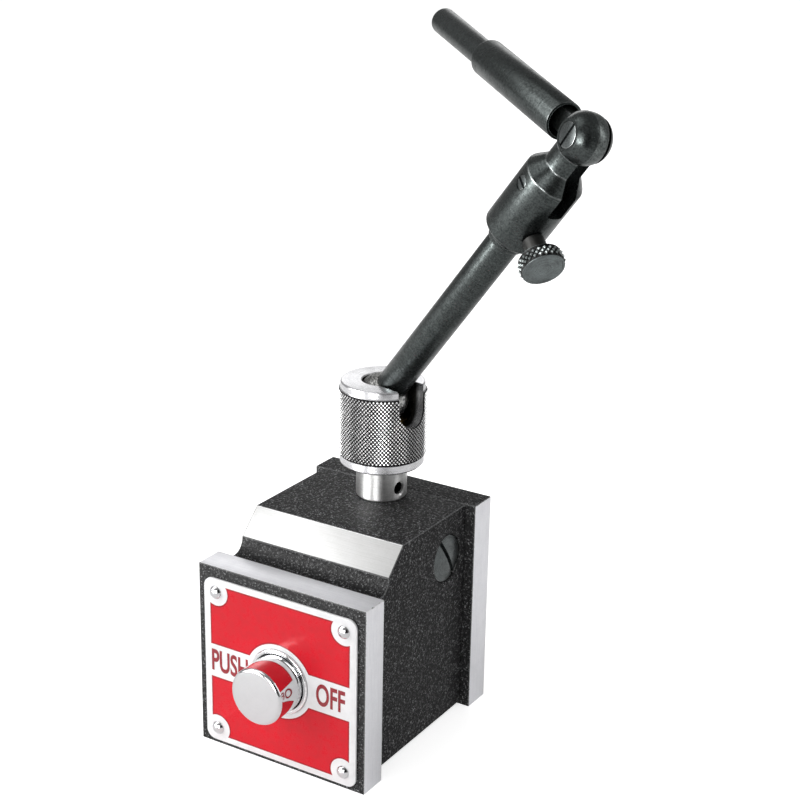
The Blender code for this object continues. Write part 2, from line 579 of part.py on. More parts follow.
def build_arm(axis):
    """Tongue in the head's slot, sleeve on its shank, and the stem that an indicator is clamped to."""
    half = TONGUE_THICK / 2
    low, high = TONGUE_OFFSET - half, TONGUE_OFFSET + half
    disc_radius = KNUCKLE_RADIUS - SEAT
    rims = [math.degrees(math.asin(side / disc_radius)) for side in (low, high)]
    round_edge = arc((0, 0), disc_radius, *rims, 4)
    hole = PIVOT_SHANK + RUN + SEAT
    disc = [(hole, high), (hole, low), *round_edge]
    tongue = link("tongue", turned(disc, 32), BLACK_OXIDE, axis, turn=ALONG_X)
    side = TONGUE_WIDTH / 2
    blade_start = hole + 0.6 * MM
    blade = block((low, -side, blade_start), (high, side, SHANK_START + CUT))
    for shape in (blade, rod_shape(SLEEVE_BORE - SEAT, SHANK_START, SHANK_END, 28)):
        helper = link(f"tongue_join_{len(tongue.modifiers)}", shape, None, axis)
        helper.hide_render = True
        helper.display_type = "WIRE"
        modifier = tongue.modifiers.new("join", "BOOLEAN")
        modifier.operation = "UNION"
        modifier.solver = "EXACT"
        modifier.object = helper
    stem_hole = STEM_RADIUS + SEAT
    sleeve = [
        (SLEEVE_BORE, SLEEVE_START), (SLEEVE_RADIUS, SLEEVE_START), (SLEEVE_RADIUS, SLEEVE_END - SLEEVE_EDGE),
        (SLEEVE_RADIUS - SLEEVE_EDGE, SLEEVE_END), (stem_hole, SLEEVE_END), (stem_hole, SLEEVE_BORE_END),
        (SLEEVE_BORE, SLEEVE_BORE_END),
    ]
    link("sleeve", turned(sleeve, 32), BLACK_OXIDE, axis)
    tip = arc((STEM_RADIUS - STEM_ROUND, STEM_END - STEM_ROUND), STEM_ROUND, 0, 90, 3)
    stem = [(0, STEM_START), (STEM_RADIUS, STEM_START), *tip, (0, STEM_END)]
    link("stem", turned(stem, 28), BLACK_OXIDE, axis)


def main():
    clear_scene()
    build_housing()
    build_poles()
    build_pole_screws()
    build_name_plate()
    build_drive_screws()
    build_bushes()
    build_magnet_unit()
    build_side_plug()
    build_stud()
    nut_axis = axis_empty("nut_axis", at=(0, STUD_Y, BALL_Z), angle=POST_TURN)
    build_socket_nut(nut_axis)
    post_axis = axis_empty("post_axis", nut_axis, angle=POST_TILT, about="Y")
    build_post(post_axis)
    head_axis = axis_empty("head_axis", post_axis, angle=HEAD_TURN)
    build_swivel_head(head_axis)
    build_head_screws(head_axis)
    build_thumb_screw(axis_empty("thumb_axis", head_axis, at=(0, 0, THUMB_HEIGHT)))
    build_arm(axis_empty("knuckle_axis", head_axis, at=(0, 0, KNUCKLE_HEIGHT), angle=ARM_TILT, about="X"))


main()
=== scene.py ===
"""Magnetic base with an indicator holding arm: detailed pieces and their finishes, on a pale studio floor."""

import math

import bmesh
import bpy
from mathutils import Matrix, Vector


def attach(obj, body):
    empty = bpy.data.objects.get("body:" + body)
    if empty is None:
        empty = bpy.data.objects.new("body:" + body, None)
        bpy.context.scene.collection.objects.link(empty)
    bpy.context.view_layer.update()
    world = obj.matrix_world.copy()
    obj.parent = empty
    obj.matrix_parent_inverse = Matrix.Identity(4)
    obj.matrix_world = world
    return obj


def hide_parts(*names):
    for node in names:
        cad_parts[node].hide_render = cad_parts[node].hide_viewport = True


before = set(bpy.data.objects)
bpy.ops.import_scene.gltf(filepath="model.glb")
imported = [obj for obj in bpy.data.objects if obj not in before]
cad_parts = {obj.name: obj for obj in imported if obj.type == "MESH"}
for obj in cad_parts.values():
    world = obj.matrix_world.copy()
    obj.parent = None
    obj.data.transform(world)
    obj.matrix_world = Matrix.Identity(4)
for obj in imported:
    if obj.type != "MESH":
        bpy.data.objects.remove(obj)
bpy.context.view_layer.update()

# Sizes are in millimetres, and match the CAD solids that the pieces stand for.
MM = 0.001
SEAT = 0.1
RUN = 0.08
POLE_WIDTH = 47.625
FRONT_POLE_HEIGHT = 47.625
FRONT_FACE = -3.85
FRONT_INNER = 3.85
REAR_INNER = 45.4
REAR_FACE = 53.3
TOP = 56.0
HOUSING_WIDTH = 42.4
FOOT_LIFT = 1.05
CHAMFER = 6.15
CHAMFER_FOOT = (9.85, 49.85)
COVE = (6.45, 49.6)
COVE_RADIUS = 3.4
BUTTON_Z = 23.1
BUTTON_RADIUS = 7.15
BUTTON_OUT = 10.0
BUTTON_EDGE = 0.9
BUSH_RADIUS = 8.28
BUSH_PROUD = 0.7
GUIDE_RADIUS = 13.8
PLATE_SIDE = 43.6
PLATE_THICK = 0.6
PLATE_CORNER = 2.4
PLATE_FIELD = (20.0, 20.2)  # half the red field, across and up
PLATE_NOTCH = 3.45  # white round each screw
PLATE_BAND = 4.35
PLATE_RING = 9.5
DRIVE_PITCH = 36.6
DRIVE_HEAD = 1.7
DRIVE_RISE = 1.0
DRIVE_SHANK = 0.9
POLE_SCREW_PITCH = 29.0
POLE_SCREW_SHANK = 1.7
POLE_SCREW_HEAD = 2.75
POLE_SCREW_RECESS = 3.6
POLE_SCREW_GRIP = 7.0
PLUG_PLACE = (21.2, 36.85, 44.55)
PLUG_HEAD = 5.95
PLUG_RECESS = 1.6
PLUG_THREAD = 4.6
PLUG_LENGTH = 9.5
STUD_Y = 39.6
STUD_RADIUS = 6.35
STUD_TENON = 4.7
STUD_TENON_DEPTH = 11.0
STUD_COLLAR = 9.6
STUD_THREAD = 7.1
TOMMY_RADIUS = 1.6
TOMMY_RISE = 3.1
BALL_Z = 81.4
BALL_RADIUS = 6.35
NUT_BOTTOM = -16.65
NUT_TOP = 4.75
NUT_RADIUS = 11.1
NUT_RIM = 10.45
NUT_MOUTH = 5.15
NUT_SLOT = 8.7
NUT_SLOT_FLOOR = 5.2
POST_RADIUS = 3.9
POST_START = 5.1
POST_LENGTH = 72.0
POST_TENON = 2.4
POST_TURN = -11.95  # degrees, of the nut's slot
HEAD_TURN = -112.4  # degrees, about the post
COLLAR_START = 59.9
COLLAR_END = 61.2
COLLAR_RADIUS = 4.48
BARREL_START = 63.2
BARREL_END = 80.8
BARREL_RADIUS = 6.95
NECK_START = 84.3
NECK_RADIUS = 4.35
KNUCKLE_HEIGHT = 92.85
KNUCKLE_RADIUS = 5.87
FORK_SLOT = (-3.15, 0.85)
FORK_FLOOR = 75.0
FLAT_AT = 4.65
PIVOT_HEAD = 2.87
PIVOT_HEAD_THICK = 1.4
PIVOT_SHANK = 1.5
THUMB_HEIGHT = 67.7
THUMB_FACE = 15.1
THUMB_BACK = 11.8
THUMB_RADIUS = 5.3
THUMB_NECK = 2.6
THUMB_THREAD = 1.9
GRUB_HEIGHT = 77.6
GRUB_RADIUS = 1.6
GRUB_LENGTH = 2.6
TONGUE = (-2.35, 0.75)
TONGUE_WIDTH = 5.2
SHANK_START = 17.0
SHANK_END = 34.0
SLEEVE_START = 9.06
SLEEVE_END = 46.0
SLEEVE_RADIUS = 4.4
SLEEVE_BORE = 3.75
SLEEVE_BORE_END = 35.5
STEM_START = 36.0
STEM_END = 70.1
STEM_RADIUS = 3.175

ALONG_X = Matrix.Rotation(math.radians(90), 4, "Y")
ALONG_Y = Matrix.Rotation(math.radians(-90), 4, "X")
IDENTITY = Matrix.Identity(4)


def at(x, y, z):
    return Matrix.Translation((x, y, z))


def turn(degrees, axis):
    return Matrix.Rotation(math.radians(degrees), 4, axis)


NUT_FRAME = at(0, STUD_Y, BALL_Z) @ turn(POST_TURN, "Z")
POST_FRAME = NUT_FRAME @ turn(38.56, "Y")
HEAD_FRAME = POST_FRAME @ turn(HEAD_TURN, "Z")
ARM_FRAME = HEAD_FRAME @ at(0, 0, KNUCKLE_HEIGHT) @ turn(112.84, "X")


# Shapes


def arc(centre, radius, start, end, steps):
    angles = [math.radians(start + (end - start) * step / steps) for step in range(steps + 1)]
    return [(centre[0] + radius * math.cos(a), centre[1] + radius * math.sin(a)) for a in angles]


def turned(profile, segments=96):
    """A closed body turned about Z from its outline of (radius, height)."""
    shape = bmesh.new()
    points = [shape.verts.new((radius, 0, height)) for radius, height in profile]
    ends = list(zip(points, points[1:]))
    if profile[0][0] > 0 or profile[-1][0] > 0:
        ends.append((points[-1], points[0]))
    edges = [shape.edges.new(pair) for pair in ends]
    bmesh.ops.spin(
        shape, geom=points + edges, cent=(0, 0, 0), axis=(0, 0, 1), angle=math.tau, steps=segments, use_merge=True
    )
    bmesh.ops.remove_doubles(shape, verts=shape.verts[:], dist=1e-4)
    bmesh.ops.recalc_face_normals(shape, faces=shape.faces[:])
    return shape


def rod(radius, start, end, segments=64):
    return turned([(0, start), (radius, start), (radius, end), (0, end)], segments)


def block(low, high):
    shape = bmesh.new()
    bmesh.ops.create_cube(shape, size=1)
    middle = [(a + b) / 2 for a, b in zip(low, high)]
    bmesh.ops.scale(shape, verts=shape.verts[:], vec=[b - a for a, b in zip(low, high)])
    bmesh.ops.translate(shape, verts=shape.verts[:], vec=middle)
    return shape


def extruded(outline, start, end):
    """The outline of (y, z), pushed along X from start to end."""
    shape = bmesh.new()
    face = shape.faces.new([shape.verts.new((start, y, z)) for y, z in outline])
    pushed = bmesh.ops.extrude_face_region(shape, geom=[face])
    moved = [item for item in pushed["geom"] if isinstance(item, bmesh.types.BMVert)]
    bmesh.ops.translate(shape, verts=moved, vec=(end - start, 0, 0))
    bmesh.ops.recalc_face_normals(shape, faces=shape.faces[:])
    return shape


def placed(shape, matrix):
    bmesh.ops.transform(shape, matrix=matrix, verts=shape.verts[:])
    return shape


def temporary(shape):
    mesh = bpy.data.meshes.new("temporary")
    shape.to_mesh(mesh)
    shape.free()
    obj = bpy.data.objects.new("temporary", mesh)
    bpy.context.scene.collection.objects.link(obj)
    return obj


def combined(shape, operation, tools):
    """The shape with every tool cut away or joined on."""
    objects = [temporary(shape)]
    for tool in tools:
        helper = temporary(tool)
        objects.append(helper)
        modifier = objects[0].modifiers.new("work", "BOOLEAN")
        modifier.operation = operation
        modifier.solver = "EXACT"
        modifier.object = helper
    result = bmesh.new()
    result.from_object(objects[0], bpy.context.evaluated_depsgraph_get())
    for obj in objects:
        mesh = obj.data
        bpy.data.objects.remove(obj)
        bpy.data.meshes.remove(mesh)
    bmesh.ops.remove_doubles(result, verts=result.verts[:], dist=1e-3)
    return result


def cut(shape, *tools):
    return combined(shape, "DIFFERENCE", tools)


def soften(shape, width, segments=2, angle=30.0, where=None):
    """Rounds the edges that turn by more than the angle, and marks the rounding for wear."""
    worn = shape.faces.layers.float.get("edge") or shape.faces.layers.float.new("edge")
    sharp = [
        edge
        for edge in shape.edges
        if edge.is_manifold and edge.calc_face_angle(0) > math.radians(angle) and (where is None or where(edge))
    ]
    made = bmesh.ops.bevel(
        shape,
        geom=sharp,
        offset=width,
        offset_type="OFFSET",
        segments=segments,
        profile=0.5,
        affect="EDGES",
        material=-1,
        clamp_overlap=True,
    )
    for face in made["faces"]:
        face[worn] = 1.0
    return shape


def knurl(shape, radius, low, high, columns, rows, depth):
    """Presses a diamond knurl into a turned band whose outline has a point at each row."""
    peaks = set()
    valleys = set()
    for vert in shape.verts:
        row = (vert.co.z - low) / (high - low) * rows
        if abs(vert.co.xy.length - radius) > 1e-3 or not -0.1 < row < rows + 0.1:
            continue
        column = round(math.atan2(vert.co.y, vert.co.x) / math.tau * columns)
        if (column + round(row)) % 2 or round(row) in (0, rows):
            valleys.add(vert)
        else:
            peaks.add(vert)
    for vert in valleys:
        vert.co.xy *= (radius - depth) / radius
    for face in shape.faces[:]:
        corners = list(face.verts)
        highest = [vert for vert in corners if vert in peaks]
        if len(corners) == 4 and highest:
            spot = corners.index(highest[0])
            bmesh.utils.face_split(face, corners[spot - 1], corners[(spot + 1) % 4])
    return shape


def knurl_line(radius, low, high, rows):
    return [(radius, low + (high - low) * row / rows) for row in range(rows + 1)]


# Finishes


def put(tree, kind, inputs=(), **settings):
    """A new node. An input that is a socket is linked, and any other is set."""
    node = tree.nodes.new("ShaderNode" + kind)
    for key, value in settings.items():
        setattr(node, key, value)
    for key, value in dict(inputs).items():
        if isinstance(value, bpy.types.NodeSocket):
            tree.links.new(value, node.inputs[key])
        else:
            node.inputs[key].default_value = value
    return node


def calc(tree, operation, *values, clamp=False):
    return put(tree, "Math", enumerate(values), operation=operation, use_clamp=clamp).outputs[0]


def mixed(tree, factor, first, second):
    node = put(tree, "Mix", {0: factor, 6: first, 7: second}, data_type="RGBA")
    return node.outputs[2]


def ranged(tree, value, low, high, to_low=0.0, to_high=1.0):
    return put(tree, "MapRange", {0: value, 1: low, 2: high, 3: to_low, 4: to_high}).outputs[0]


def noise(tree, vector, scale, detail=2.0, roughness=0.5):
    inputs = {"Vector": vector, "Scale": scale, "Detail": detail, "Roughness": roughness}
    return put(tree, "TexNoise", inputs).outputs["Fac"]


def group(name, inputs, outputs):
    tree = bpy.data.node_groups.new(name, "ShaderNodeTree")
    for label, kind, value in inputs:
        socket = tree.interface.new_socket(label, in_out="INPUT", socket_type="NodeSocket" + kind)
        socket.default_value = value
    for label, kind in outputs:
        tree.interface.new_socket(label, in_out="OUTPUT", socket_type="NodeSocket" + kind)
    return tree, tree.nodes.new("NodeGroupInput").outputs, tree.nodes.new("NodeGroupOutput").inputs


def turning_marks():
    """Rings left by the lathe, about Z."""
    tree, given, out = group(
        "Turning marks", [("Vector", "Vector", (0, 0, 0)), ("Density", "Float", 4.0)], [("Lines", "Float")]
    )
    flat = put(tree, "VectorMath", {0: given["Vector"], 1: (1, 1, 0)}, operation="MULTIPLY").outputs[0]
    radius = put(tree, "VectorMath", {0: flat}, operation="LENGTH").outputs["Value"]
    height = put(tree, "SeparateXYZ", {0: given["Vector"]}).outputs["Z"]
    rings = put(tree, "CombineXYZ", {0: radius, 1: height, 2: 0.0}).outputs[0]
    dense = put(tree, "VectorMath", {0: rings, "Scale": given["Density"]}, operation="SCALE").outputs[0]
    wobble = put(tree, "VectorMath", {0: given["Vector"], "Scale": 0.12}, operation="SCALE").outputs[0]
    path = put(tree, "VectorMath", {0: dense, 1: wobble}, operation="ADD").outputs[0]
    tree.links.new(noise(tree, path, 1.0, 3.0, 0.65), out["Lines"])
    return tree


def grinding_marks():
    """Straight scratches of a surface grinder; the stretch is small along them."""
    tree, given, out = group(
        "Grinding marks", [("Vector", "Vector", (0, 0, 0)), ("Stretch", "Vector", (1, 1, 1))], [("Lines", "Float")]
    )
    path = put(tree, "VectorMath", {0: given["Vector"], 1: given["Stretch"]}, operation="MULTIPLY").outputs[0]
    tree.links.new(noise(tree, path, 1.0, 4.0, 0.7), out["Lines"])
    return tree


def metal_surface():
    """Tone, gloss and relief of machined metal, with marks, handling stains and worn edges."""
    tree, given, out = group(
        "Metal surface",
        [
            ("Vector", "Vector", (0, 0, 0)),
            ("Lines", "Float", 0.5),
            ("Colour", "Color", (0.5, 0.5, 0.5, 1)),
            ("Dark Colour", "Color", (0.3, 0.3, 0.3, 1)),
            ("Worn Colour", "Color", (0.8, 0.8, 0.8, 1)),
            ("Marks", "Float", 0.5),
            ("Stains", "Float", 0.3),
            ("Grain", "Float", 0.2),
            ("Wear", "Float", 0.5),
            ("Roughness", "Float", 0.3),
            ("Spread", "Float", 0.1),
        ],
        [("Colour", "Color"), ("Roughness", "Float"), ("Height", "Float")],
    )
    cloud = noise(tree, given["Vector"], 0.35, 4.0, 0.6)
    fine = noise(tree, given["Vector"], 7.0, 2.0)
    lines = ranged(tree, given["Lines"], 0.32, 0.68)
    stained = ranged(tree, cloud, 0.4, 0.7)
    grained = ranged(tree, noise(tree, given["Vector"], 2.4, 3.0, 0.65), 0.4, 0.62)
    dark = calc(tree, "MULTIPLY_ADD", grained, given["Grain"], calc(tree, "MULTIPLY", lines, given["Marks"]))
    dark = calc(tree, "MULTIPLY_ADD", stained, given["Stains"], dark, clamp=True)
    edge = put(tree, "Attribute", attribute_name="edge").outputs["Fac"]
    patchy = ranged(tree, noise(tree, given["Vector"], 1.1, 3.0, 0.7), 0.34, 0.52)
    worn = calc(tree, "MULTIPLY", calc(tree, "MULTIPLY", edge, patchy), given["Wear"], clamp=True)
    tone = mixed(tree, dark, given["Colour"], given["Dark Colour"])
    tree.links.new(mixed(tree, worn, tone, given["Worn Colour"]), out["Colour"])
    swing = calc(tree, "SUBTRACT", calc(tree, "ADD", calc(tree, "MULTIPLY", lines, 0.6), stained), 0.7)
    rough = calc(tree, "MULTIPLY_ADD", swing, given["Spread"], given["Roughness"])
    tree.links.new(calc(tree, "MULTIPLY_ADD", worn, -0.08, rough, clamp=True), out["Roughness"])
    relief = calc(tree, "MULTIPLY_ADD", given["Lines"], given["Marks"], calc(tree, "MULTIPLY", fine, 0.25))
    tree.links.new(relief, out["Height"])
    return tree


def wrinkle_surface():
    """Wrinkle enamel: black, with a fine raised grain whose tips are painted light as a painted highlight."""
    tree, given, out = group(
        "Wrinkle enamel",
        [
            ("Vector", "Vector", (0, 0, 0)),
            ("Colour", "Color", (0.01, 0.01, 0.01, 1)),
            ("Tip Highlight Colour", "Color", (0.2, 0.2, 0.2, 1)),
            ("Grain", "Float", 2.0),
        ],
        [("Colour", "Color"), ("Roughness", "Float"), ("Height", "Float")],
    )
    bent = put(tree, "TexNoise", {"Vector": given["Vector"], "Scale": 1.2}).outputs["Color"]
    path = put(tree, "VectorMath", {0: bent, "Scale": 0.8}, operation="SCALE").outputs[0]
    path = put(tree, "VectorMath", {0: path, 1: given["Vector"]}, operation="ADD").outputs[0]
    crumbs = noise(tree, path, given["Grain"], 3.0, 0.6)
    worm = put(
        tree, "TexVoronoi", {"Vector": path, "Scale": given["Grain"]}, feature="SMOOTH_F1"
    ).outputs["Distance"]
    height = calc(tree, "MULTIPLY_ADD", worm, -0.9, crumbs)
    # Painted highlight: the tips of the grain, and a quarter as much on the rounded edges, take the lighter tip
    # colour.
    tips = ranged(tree, height, 0.12, 0.42)
    tips = calc(tree, "MULTIPLY", tips, ranged(tree, noise(tree, given["Vector"], 3.6, 2.0, 0.6), 0.46, 0.66))
    edge = put(tree, "Attribute", attribute_name="edge").outputs["Fac"]
    tips = calc(tree, "MULTIPLY_ADD", edge, 0.25, tips, clamp=True)
    tree.links.new(mixed(tree, tips, given["Colour"], given["Tip Highlight Colour"]), out["Colour"])
    tree.links.new(ranged(tree, height, 0.0, 0.6, 0.62, 0.4), out["Roughness"])
    tree.links.new(height, out["Height"])
    return tree


def knurl_painted_light():
    """Painted highlight on the knurl tips and painted shade in the valleys, inside a band of heights; a bore under the
    inner radius is painted near black as shade.
    """
    tree, given, out = group(
        "Knurl painted highlight and shade",
        [
            ("Vector", "Vector", (0, 0, 0)),
            ("Colour", "Color", (0.5, 0.5, 0.5, 1)),
            ("Tip Highlight Colour", "Color", (0.9, 0.9, 0.9, 1)),
            ("Valley Shade Colour", "Color", (0.01, 0.01, 0.01, 1)),
            ("Radius", "Float", 11.0),
            ("Depth", "Float", 0.4),
            ("Low", "Float", 0.0),
            ("High", "Float", 1.0),
            ("Bore", "Float", 0.0),
            ("Bore Top", "Float", 0.0),
        ],
        [("Colour", "Color")],
    )
    flat = put(tree, "VectorMath", {0: given["Vector"], 1: (1, 1, 0)}, operation="MULTIPLY").outputs[0]
    radius = put(tree, "VectorMath", {0: flat}, operation="LENGTH").outputs["Value"]
    height = put(tree, "SeparateXYZ", {0: given["Vector"]}).outputs["Z"]
    above = calc(tree, "GREATER_THAN", height, given["Low"])
    band = calc(tree, "MULTIPLY", above, calc(tree, "LESS_THAN", height, given["High"]))
    sunk = calc(tree, "DIVIDE", calc(tree, "SUBTRACT", given["Radius"], radius), given["Depth"])
    band = calc(tree, "MULTIPLY", band, calc(tree, "LESS_THAN", sunk, 1.5))
    # The tips are painted bright as a painted highlight, and the valleys near black as painted shade.
    tip = calc(tree, "MULTIPLY", band, ranged(tree, sunk, 0.72, 0.48))
    valley_shade = calc(tree, "MULTIPLY", band, ranged(tree, sunk, 0.46, 0.8))
    tone = mixed(tree, tip, given["Colour"], given["Tip Highlight Colour"])
    tone = mixed(tree, valley_shade, tone, given["Valley Shade Colour"])
    # Painted shade: whatever lies inside the bore radius and below the bore top is painted near black.
    inner = ranged(tree, calc(tree, "SUBTRACT", radius, given["Bore"]), 0.6, -0.4)
    bore_shade = calc(tree, "MULTIPLY", inner, calc(tree, "LESS_THAN", height, given["Bore Top"]))
    tree.links.new(mixed(tree, bore_shade, tone, (0.02, 0.018, 0.016, 1)), out["Colour"])
    return tree


TURNING = turning_marks()
GRINDING = grinding_marks()
METAL = metal_surface()
WRINKLE = wrinkle_surface()
KNURL_PAINTED_LIGHT = knurl_painted_light()


def use(tree, made, inputs):
    node = put(tree, "Group", node_tree=made)
    return fill(tree, node, inputs) if inputs else node


def fill(tree, node, inputs):
    for key, value in inputs.items():
        if isinstance(value, bpy.types.NodeSocket):
            tree.links.new(value, node.inputs[key])
        else:
            node.inputs[key].default_value = value
    return node


def new_material(name, own=True):
    """A material, its shader and the piece's own coordinates in millimetres."""
    made = bpy.data.materials.new(name)
    made.use_nodes = True
    tree = made.node_tree
    tree.nodes.clear()
    shader = put(tree, "BsdfPrincipled")
    output = put(tree, "OutputMaterial", {"Surface": shader.outputs[0]})
    output.location = (400, 0)
    if own:
        vector = put(tree, "Attribute", attribute_name="own").outputs["Vector"]
    else:
        place = put(tree, "TexCoord").outputs["Object"]
        vector = put(tree, "VectorMath", {0: place, "Scale": 1000.0}, operation="SCALE").outputs[0]
    return made, tree, shader, vector


def bumped(tree, shader, height, strength, distance):
    bump = put(tree, "Bump", {"Strength": strength, "Distance": distance * MM, "Height": height})
    tree.links.new(bump.outputs["Normal"], shader.inputs["Normal"])


def colour(value):
    return (*value, 1.0) if len(value) == 3 else value


def metal(
    name, base, dark, worn, roughness, lines=4.0, marks=0.5, stains=0.3, wear=0.5, spread=0.1, relief=0.02,
    own=True, metallic=1.0, grain=0.2, brushed=0.0,
):
    """Machined metal. Lines is the density of turning marks, or the stretch of straight grinding marks."""
    made, tree, shader, vector = new_material(name, own)
    if isinstance(lines, float):
        marked = use(tree, TURNING, {"Vector": vector, "Density": lines})
    else:
        marked = use(tree, GRINDING, {"Vector": vector, "Stretch": lines})
    inputs = {
        "Vector": vector, "Lines": marked.outputs["Lines"], "Colour": colour(base), "Dark Colour": colour(dark),
        "Worn Colour": colour(worn), "Marks": marks, "Stains": stains, "Grain": grain, "Wear": wear,
        "Roughness": roughness, "Spread": spread,
    }
    surface = use(tree, METAL, inputs)
    tree.links.new(surface.outputs["Colour"], shader.inputs["Base Color"])
    tree.links.new(surface.outputs["Roughness"], shader.inputs["Roughness"])
    shader.inputs["Metallic"].default_value = metallic
    shader.inputs["Anisotropic"].default_value = brushed
    shader.inputs["Anisotropic Rotation"].default_value = 0.25
    bumped(tree, shader, surface.outputs["Height"], 0.6, relief)
    return made


def wrinkle_paint():
    made, tree, shader, vector = new_material("Black wrinkle paint")
    # The tip colour is the painted highlight on the grain.
    inputs = {"Vector": vector, "Colour": (0.004, 0.004, 0.0045, 1), "Tip Highlight Colour": (0.4, 0.405, 0.41, 1), "Grain": 1.9}
    surface = use(tree, WRINKLE, inputs)
    tree.links.new(surface.outputs["Colour"], shader.inputs["Base Color"])
    tree.links.new(surface.outputs["Roughness"], shader.inputs["Roughness"])
    shader.inputs["Specular IOR Level"].default_value = 0.25
    bumped(tree, shader, surface.outputs["Height"], 1.0, 0.25)
    return made


def knurled(name, tones, finish, band, metallic=0.6, brushed=0.0):
    """A turned finish with a knurled band. Tones are base, dark and worn colours, then the painted highlight of the
    tips and the painted shade of the valleys.
    """
    made, tree, shader, vector = new_material(name)
    marked = use(tree, TURNING, {"Vector": vector, "Density": 4.0})
    inputs = {"Vector": vector, "Lines": marked.outputs["Lines"], **finish}
    inputs.update(zip(("Colour", "Dark Colour", "Worn Colour"), map(colour, tones)))
    surface = use(tree, METAL, inputs)
    tone = use(tree, KNURL_PAINTED_LIGHT, {
        "Vector": vector, "Colour": surface.outputs["Colour"], "Tip Highlight Colour": colour(tones[3]),
        "Valley Shade Colour": colour(tones[4]), **band,
    })
    tree.links.new(tone.outputs["Colour"], shader.inputs["Base Color"])
    tree.links.new(surface.outputs["Roughness"], shader.inputs["Roughness"])
    shader.inputs["Metallic"].default_value = metallic
    shader.inputs["Anisotropic"].default_value = brushed
    shader.inputs["Anisotropic Rotation"].default_value = 0.25
    bumped(tree, shader, surface.outputs["Height"], 0.5, 0.015)
    return made


def distance(tree, first, second):
    squares = calc(tree, "ADD", calc(tree, "MULTIPLY", first, first), calc(tree, "MULTIPLY", second, second))
    return calc(tree, "POWER", squares, 0.5)


def plate_enamel():
    """Etched plate: red enamel fields with a darker outline, in a white border, with a white band and ring."""
    made, tree, shader, vector = new_material("Red enamel plate")
    parts = put(tree, "SeparateXYZ", {0: vector})
    across = calc(tree, "ABSOLUTE", parts.outputs["X"])
    up = calc(tree, "ABSOLUTE", parts.outputs["Z"])
    side = calc(tree, "SUBTRACT", across, PLATE_FIELD[0])
    border = calc(tree, "MAXIMUM", side, calc(tree, "SUBTRACT", up, PLATE_FIELD[1]))
    screw_x = calc(tree, "SUBTRACT", across, DRIVE_PITCH / 2)
    screw_z = calc(tree, "SUBTRACT", up, DRIVE_PITCH / 2)
    notch = calc(tree, "SUBTRACT", PLATE_NOTCH, distance(tree, screw_x, screw_z))
    band = calc(tree, "SUBTRACT", PLATE_BAND, up)
    ring = calc(tree, "SUBTRACT", PLATE_RING, distance(tree, across, up))
    edge = calc(tree, "MAXIMUM", calc(tree, "MAXIMUM", border, notch), calc(tree, "MAXIMUM", band, ring))
    inset = calc(tree, "SUBTRACT", edge, 0.04)
    rough_line = calc(tree, "MULTIPLY_ADD", noise(tree, vector, 2.5, 2.0), 0.08, inset)
    red = ranged(tree, rough_line, 0.03, -0.03)
    outline = calc(tree, "MULTIPLY", red, ranged(tree, rough_line, -0.42, -0.3))
    mottle = noise(tree, vector, 0.5, 4.0, 0.6)
    fine = noise(tree, vector, 6.0, 2.0)
    enamel = mixed(tree, ranged(tree, mottle, 0.35, 0.7), (0.76, 0.01, 0.024, 1), (0.68, 0.008, 0.02, 1))
    enamel = mixed(tree, outline, enamel, (0.42, 0.008, 0.018, 1))
    white = mixed(tree, ranged(tree, mottle, 0.35, 0.7), (0.95, 0.95, 0.96, 1), (0.88, 0.88, 0.89, 1))
    tree.links.new(mixed(tree, red, white, enamel), shader.inputs["Base Color"])
    gloss = ranged(tree, calc(tree, "ADD", mottle, fine), 0.7, 1.3, 0.24, 0.36)
    tree.links.new(gloss, shader.inputs["Roughness"])
    shader.inputs["Specular IOR Level"].default_value = 0.2
    height = calc(tree, "MULTIPLY_ADD", fine, 0.06, calc(tree, "SUBTRACT", 1.0, red))
    bumped(tree, shader, height, 0.5, 0.05)
    return made


PAINT = wrinkle_paint()
ENAMEL = plate_enamel()
# The tip and valley tones are a painted highlight and painted shade; inside the bore the nut is painted near black as
# shade.
KNURLED = knurled(
    "Knurled satin silver",
    ((0.8, 0.8, 0.82), (0.45, 0.45, 0.46), (0.9, 0.9, 0.9), (0.98, 0.98, 0.98), (0.006, 0.006, 0.006)),
    {"Marks": 0.35, "Stains": 0.15, "Grain": 0.1, "Wear": 0.7, "Roughness": 0.24, "Spread": 0.06},
    {
        "Radius": NUT_RADIUS, "Depth": 0.42, "Low": NUT_BOTTOM + 2.45, "High": NUT_TOP - 1.95,
        "Bore": 8.6, "Bore Top": NUT_TOP - 0.3,
    },
    metallic=0.8,
    brushed=0.8,
)
# Its tips are painted lighter as a painted highlight; its valleys and the neck under the knob are painted near black
# as shade.
KNURLED_OXIDE = knurled(
    "Knurled black oxide",
    ((0.2, 0.23, 0.23), (0.07, 0.08, 0.08), (0.4, 0.42, 0.42), (0.3, 0.33, 0.325), (0.006, 0.006, 0.006)),
    {"Marks": 0.5, "Stains": 0.5, "Grain": 0.3, "Wear": 0.7, "Roughness": 0.33, "Spread": 0.1},
    {
        "Radius": THUMB_RADIUS, "Depth": 0.5, "Low": THUMB_BACK + 0.05, "High": THUMB_FACE - 0.2,
        "Bore": 2.9, "Bore Top": THUMB_BACK,
    },
)
STEEL_WORN = (0.92, 0.92, 0.93)
LETTER_RED = metal(
    "Letter red enamel", (0.36, 0.006, 0.016), (0.27, 0.005, 0.012), (0.5, 0.02, 0.03),
    roughness=0.3, wear=0.2, metallic=0.0,
)
GROUND = metal(
    "Ground steel", (0.96, 0.96, 0.99), (0.66, 0.66, 0.7), STEEL_WORN,
    roughness=0.36, lines=(0.12, 5.0, 0.12), marks=0.38, stains=0.12, wear=0.9, spread=0.06, relief=0.02,
    metallic=0.6, grain=0.1,
)
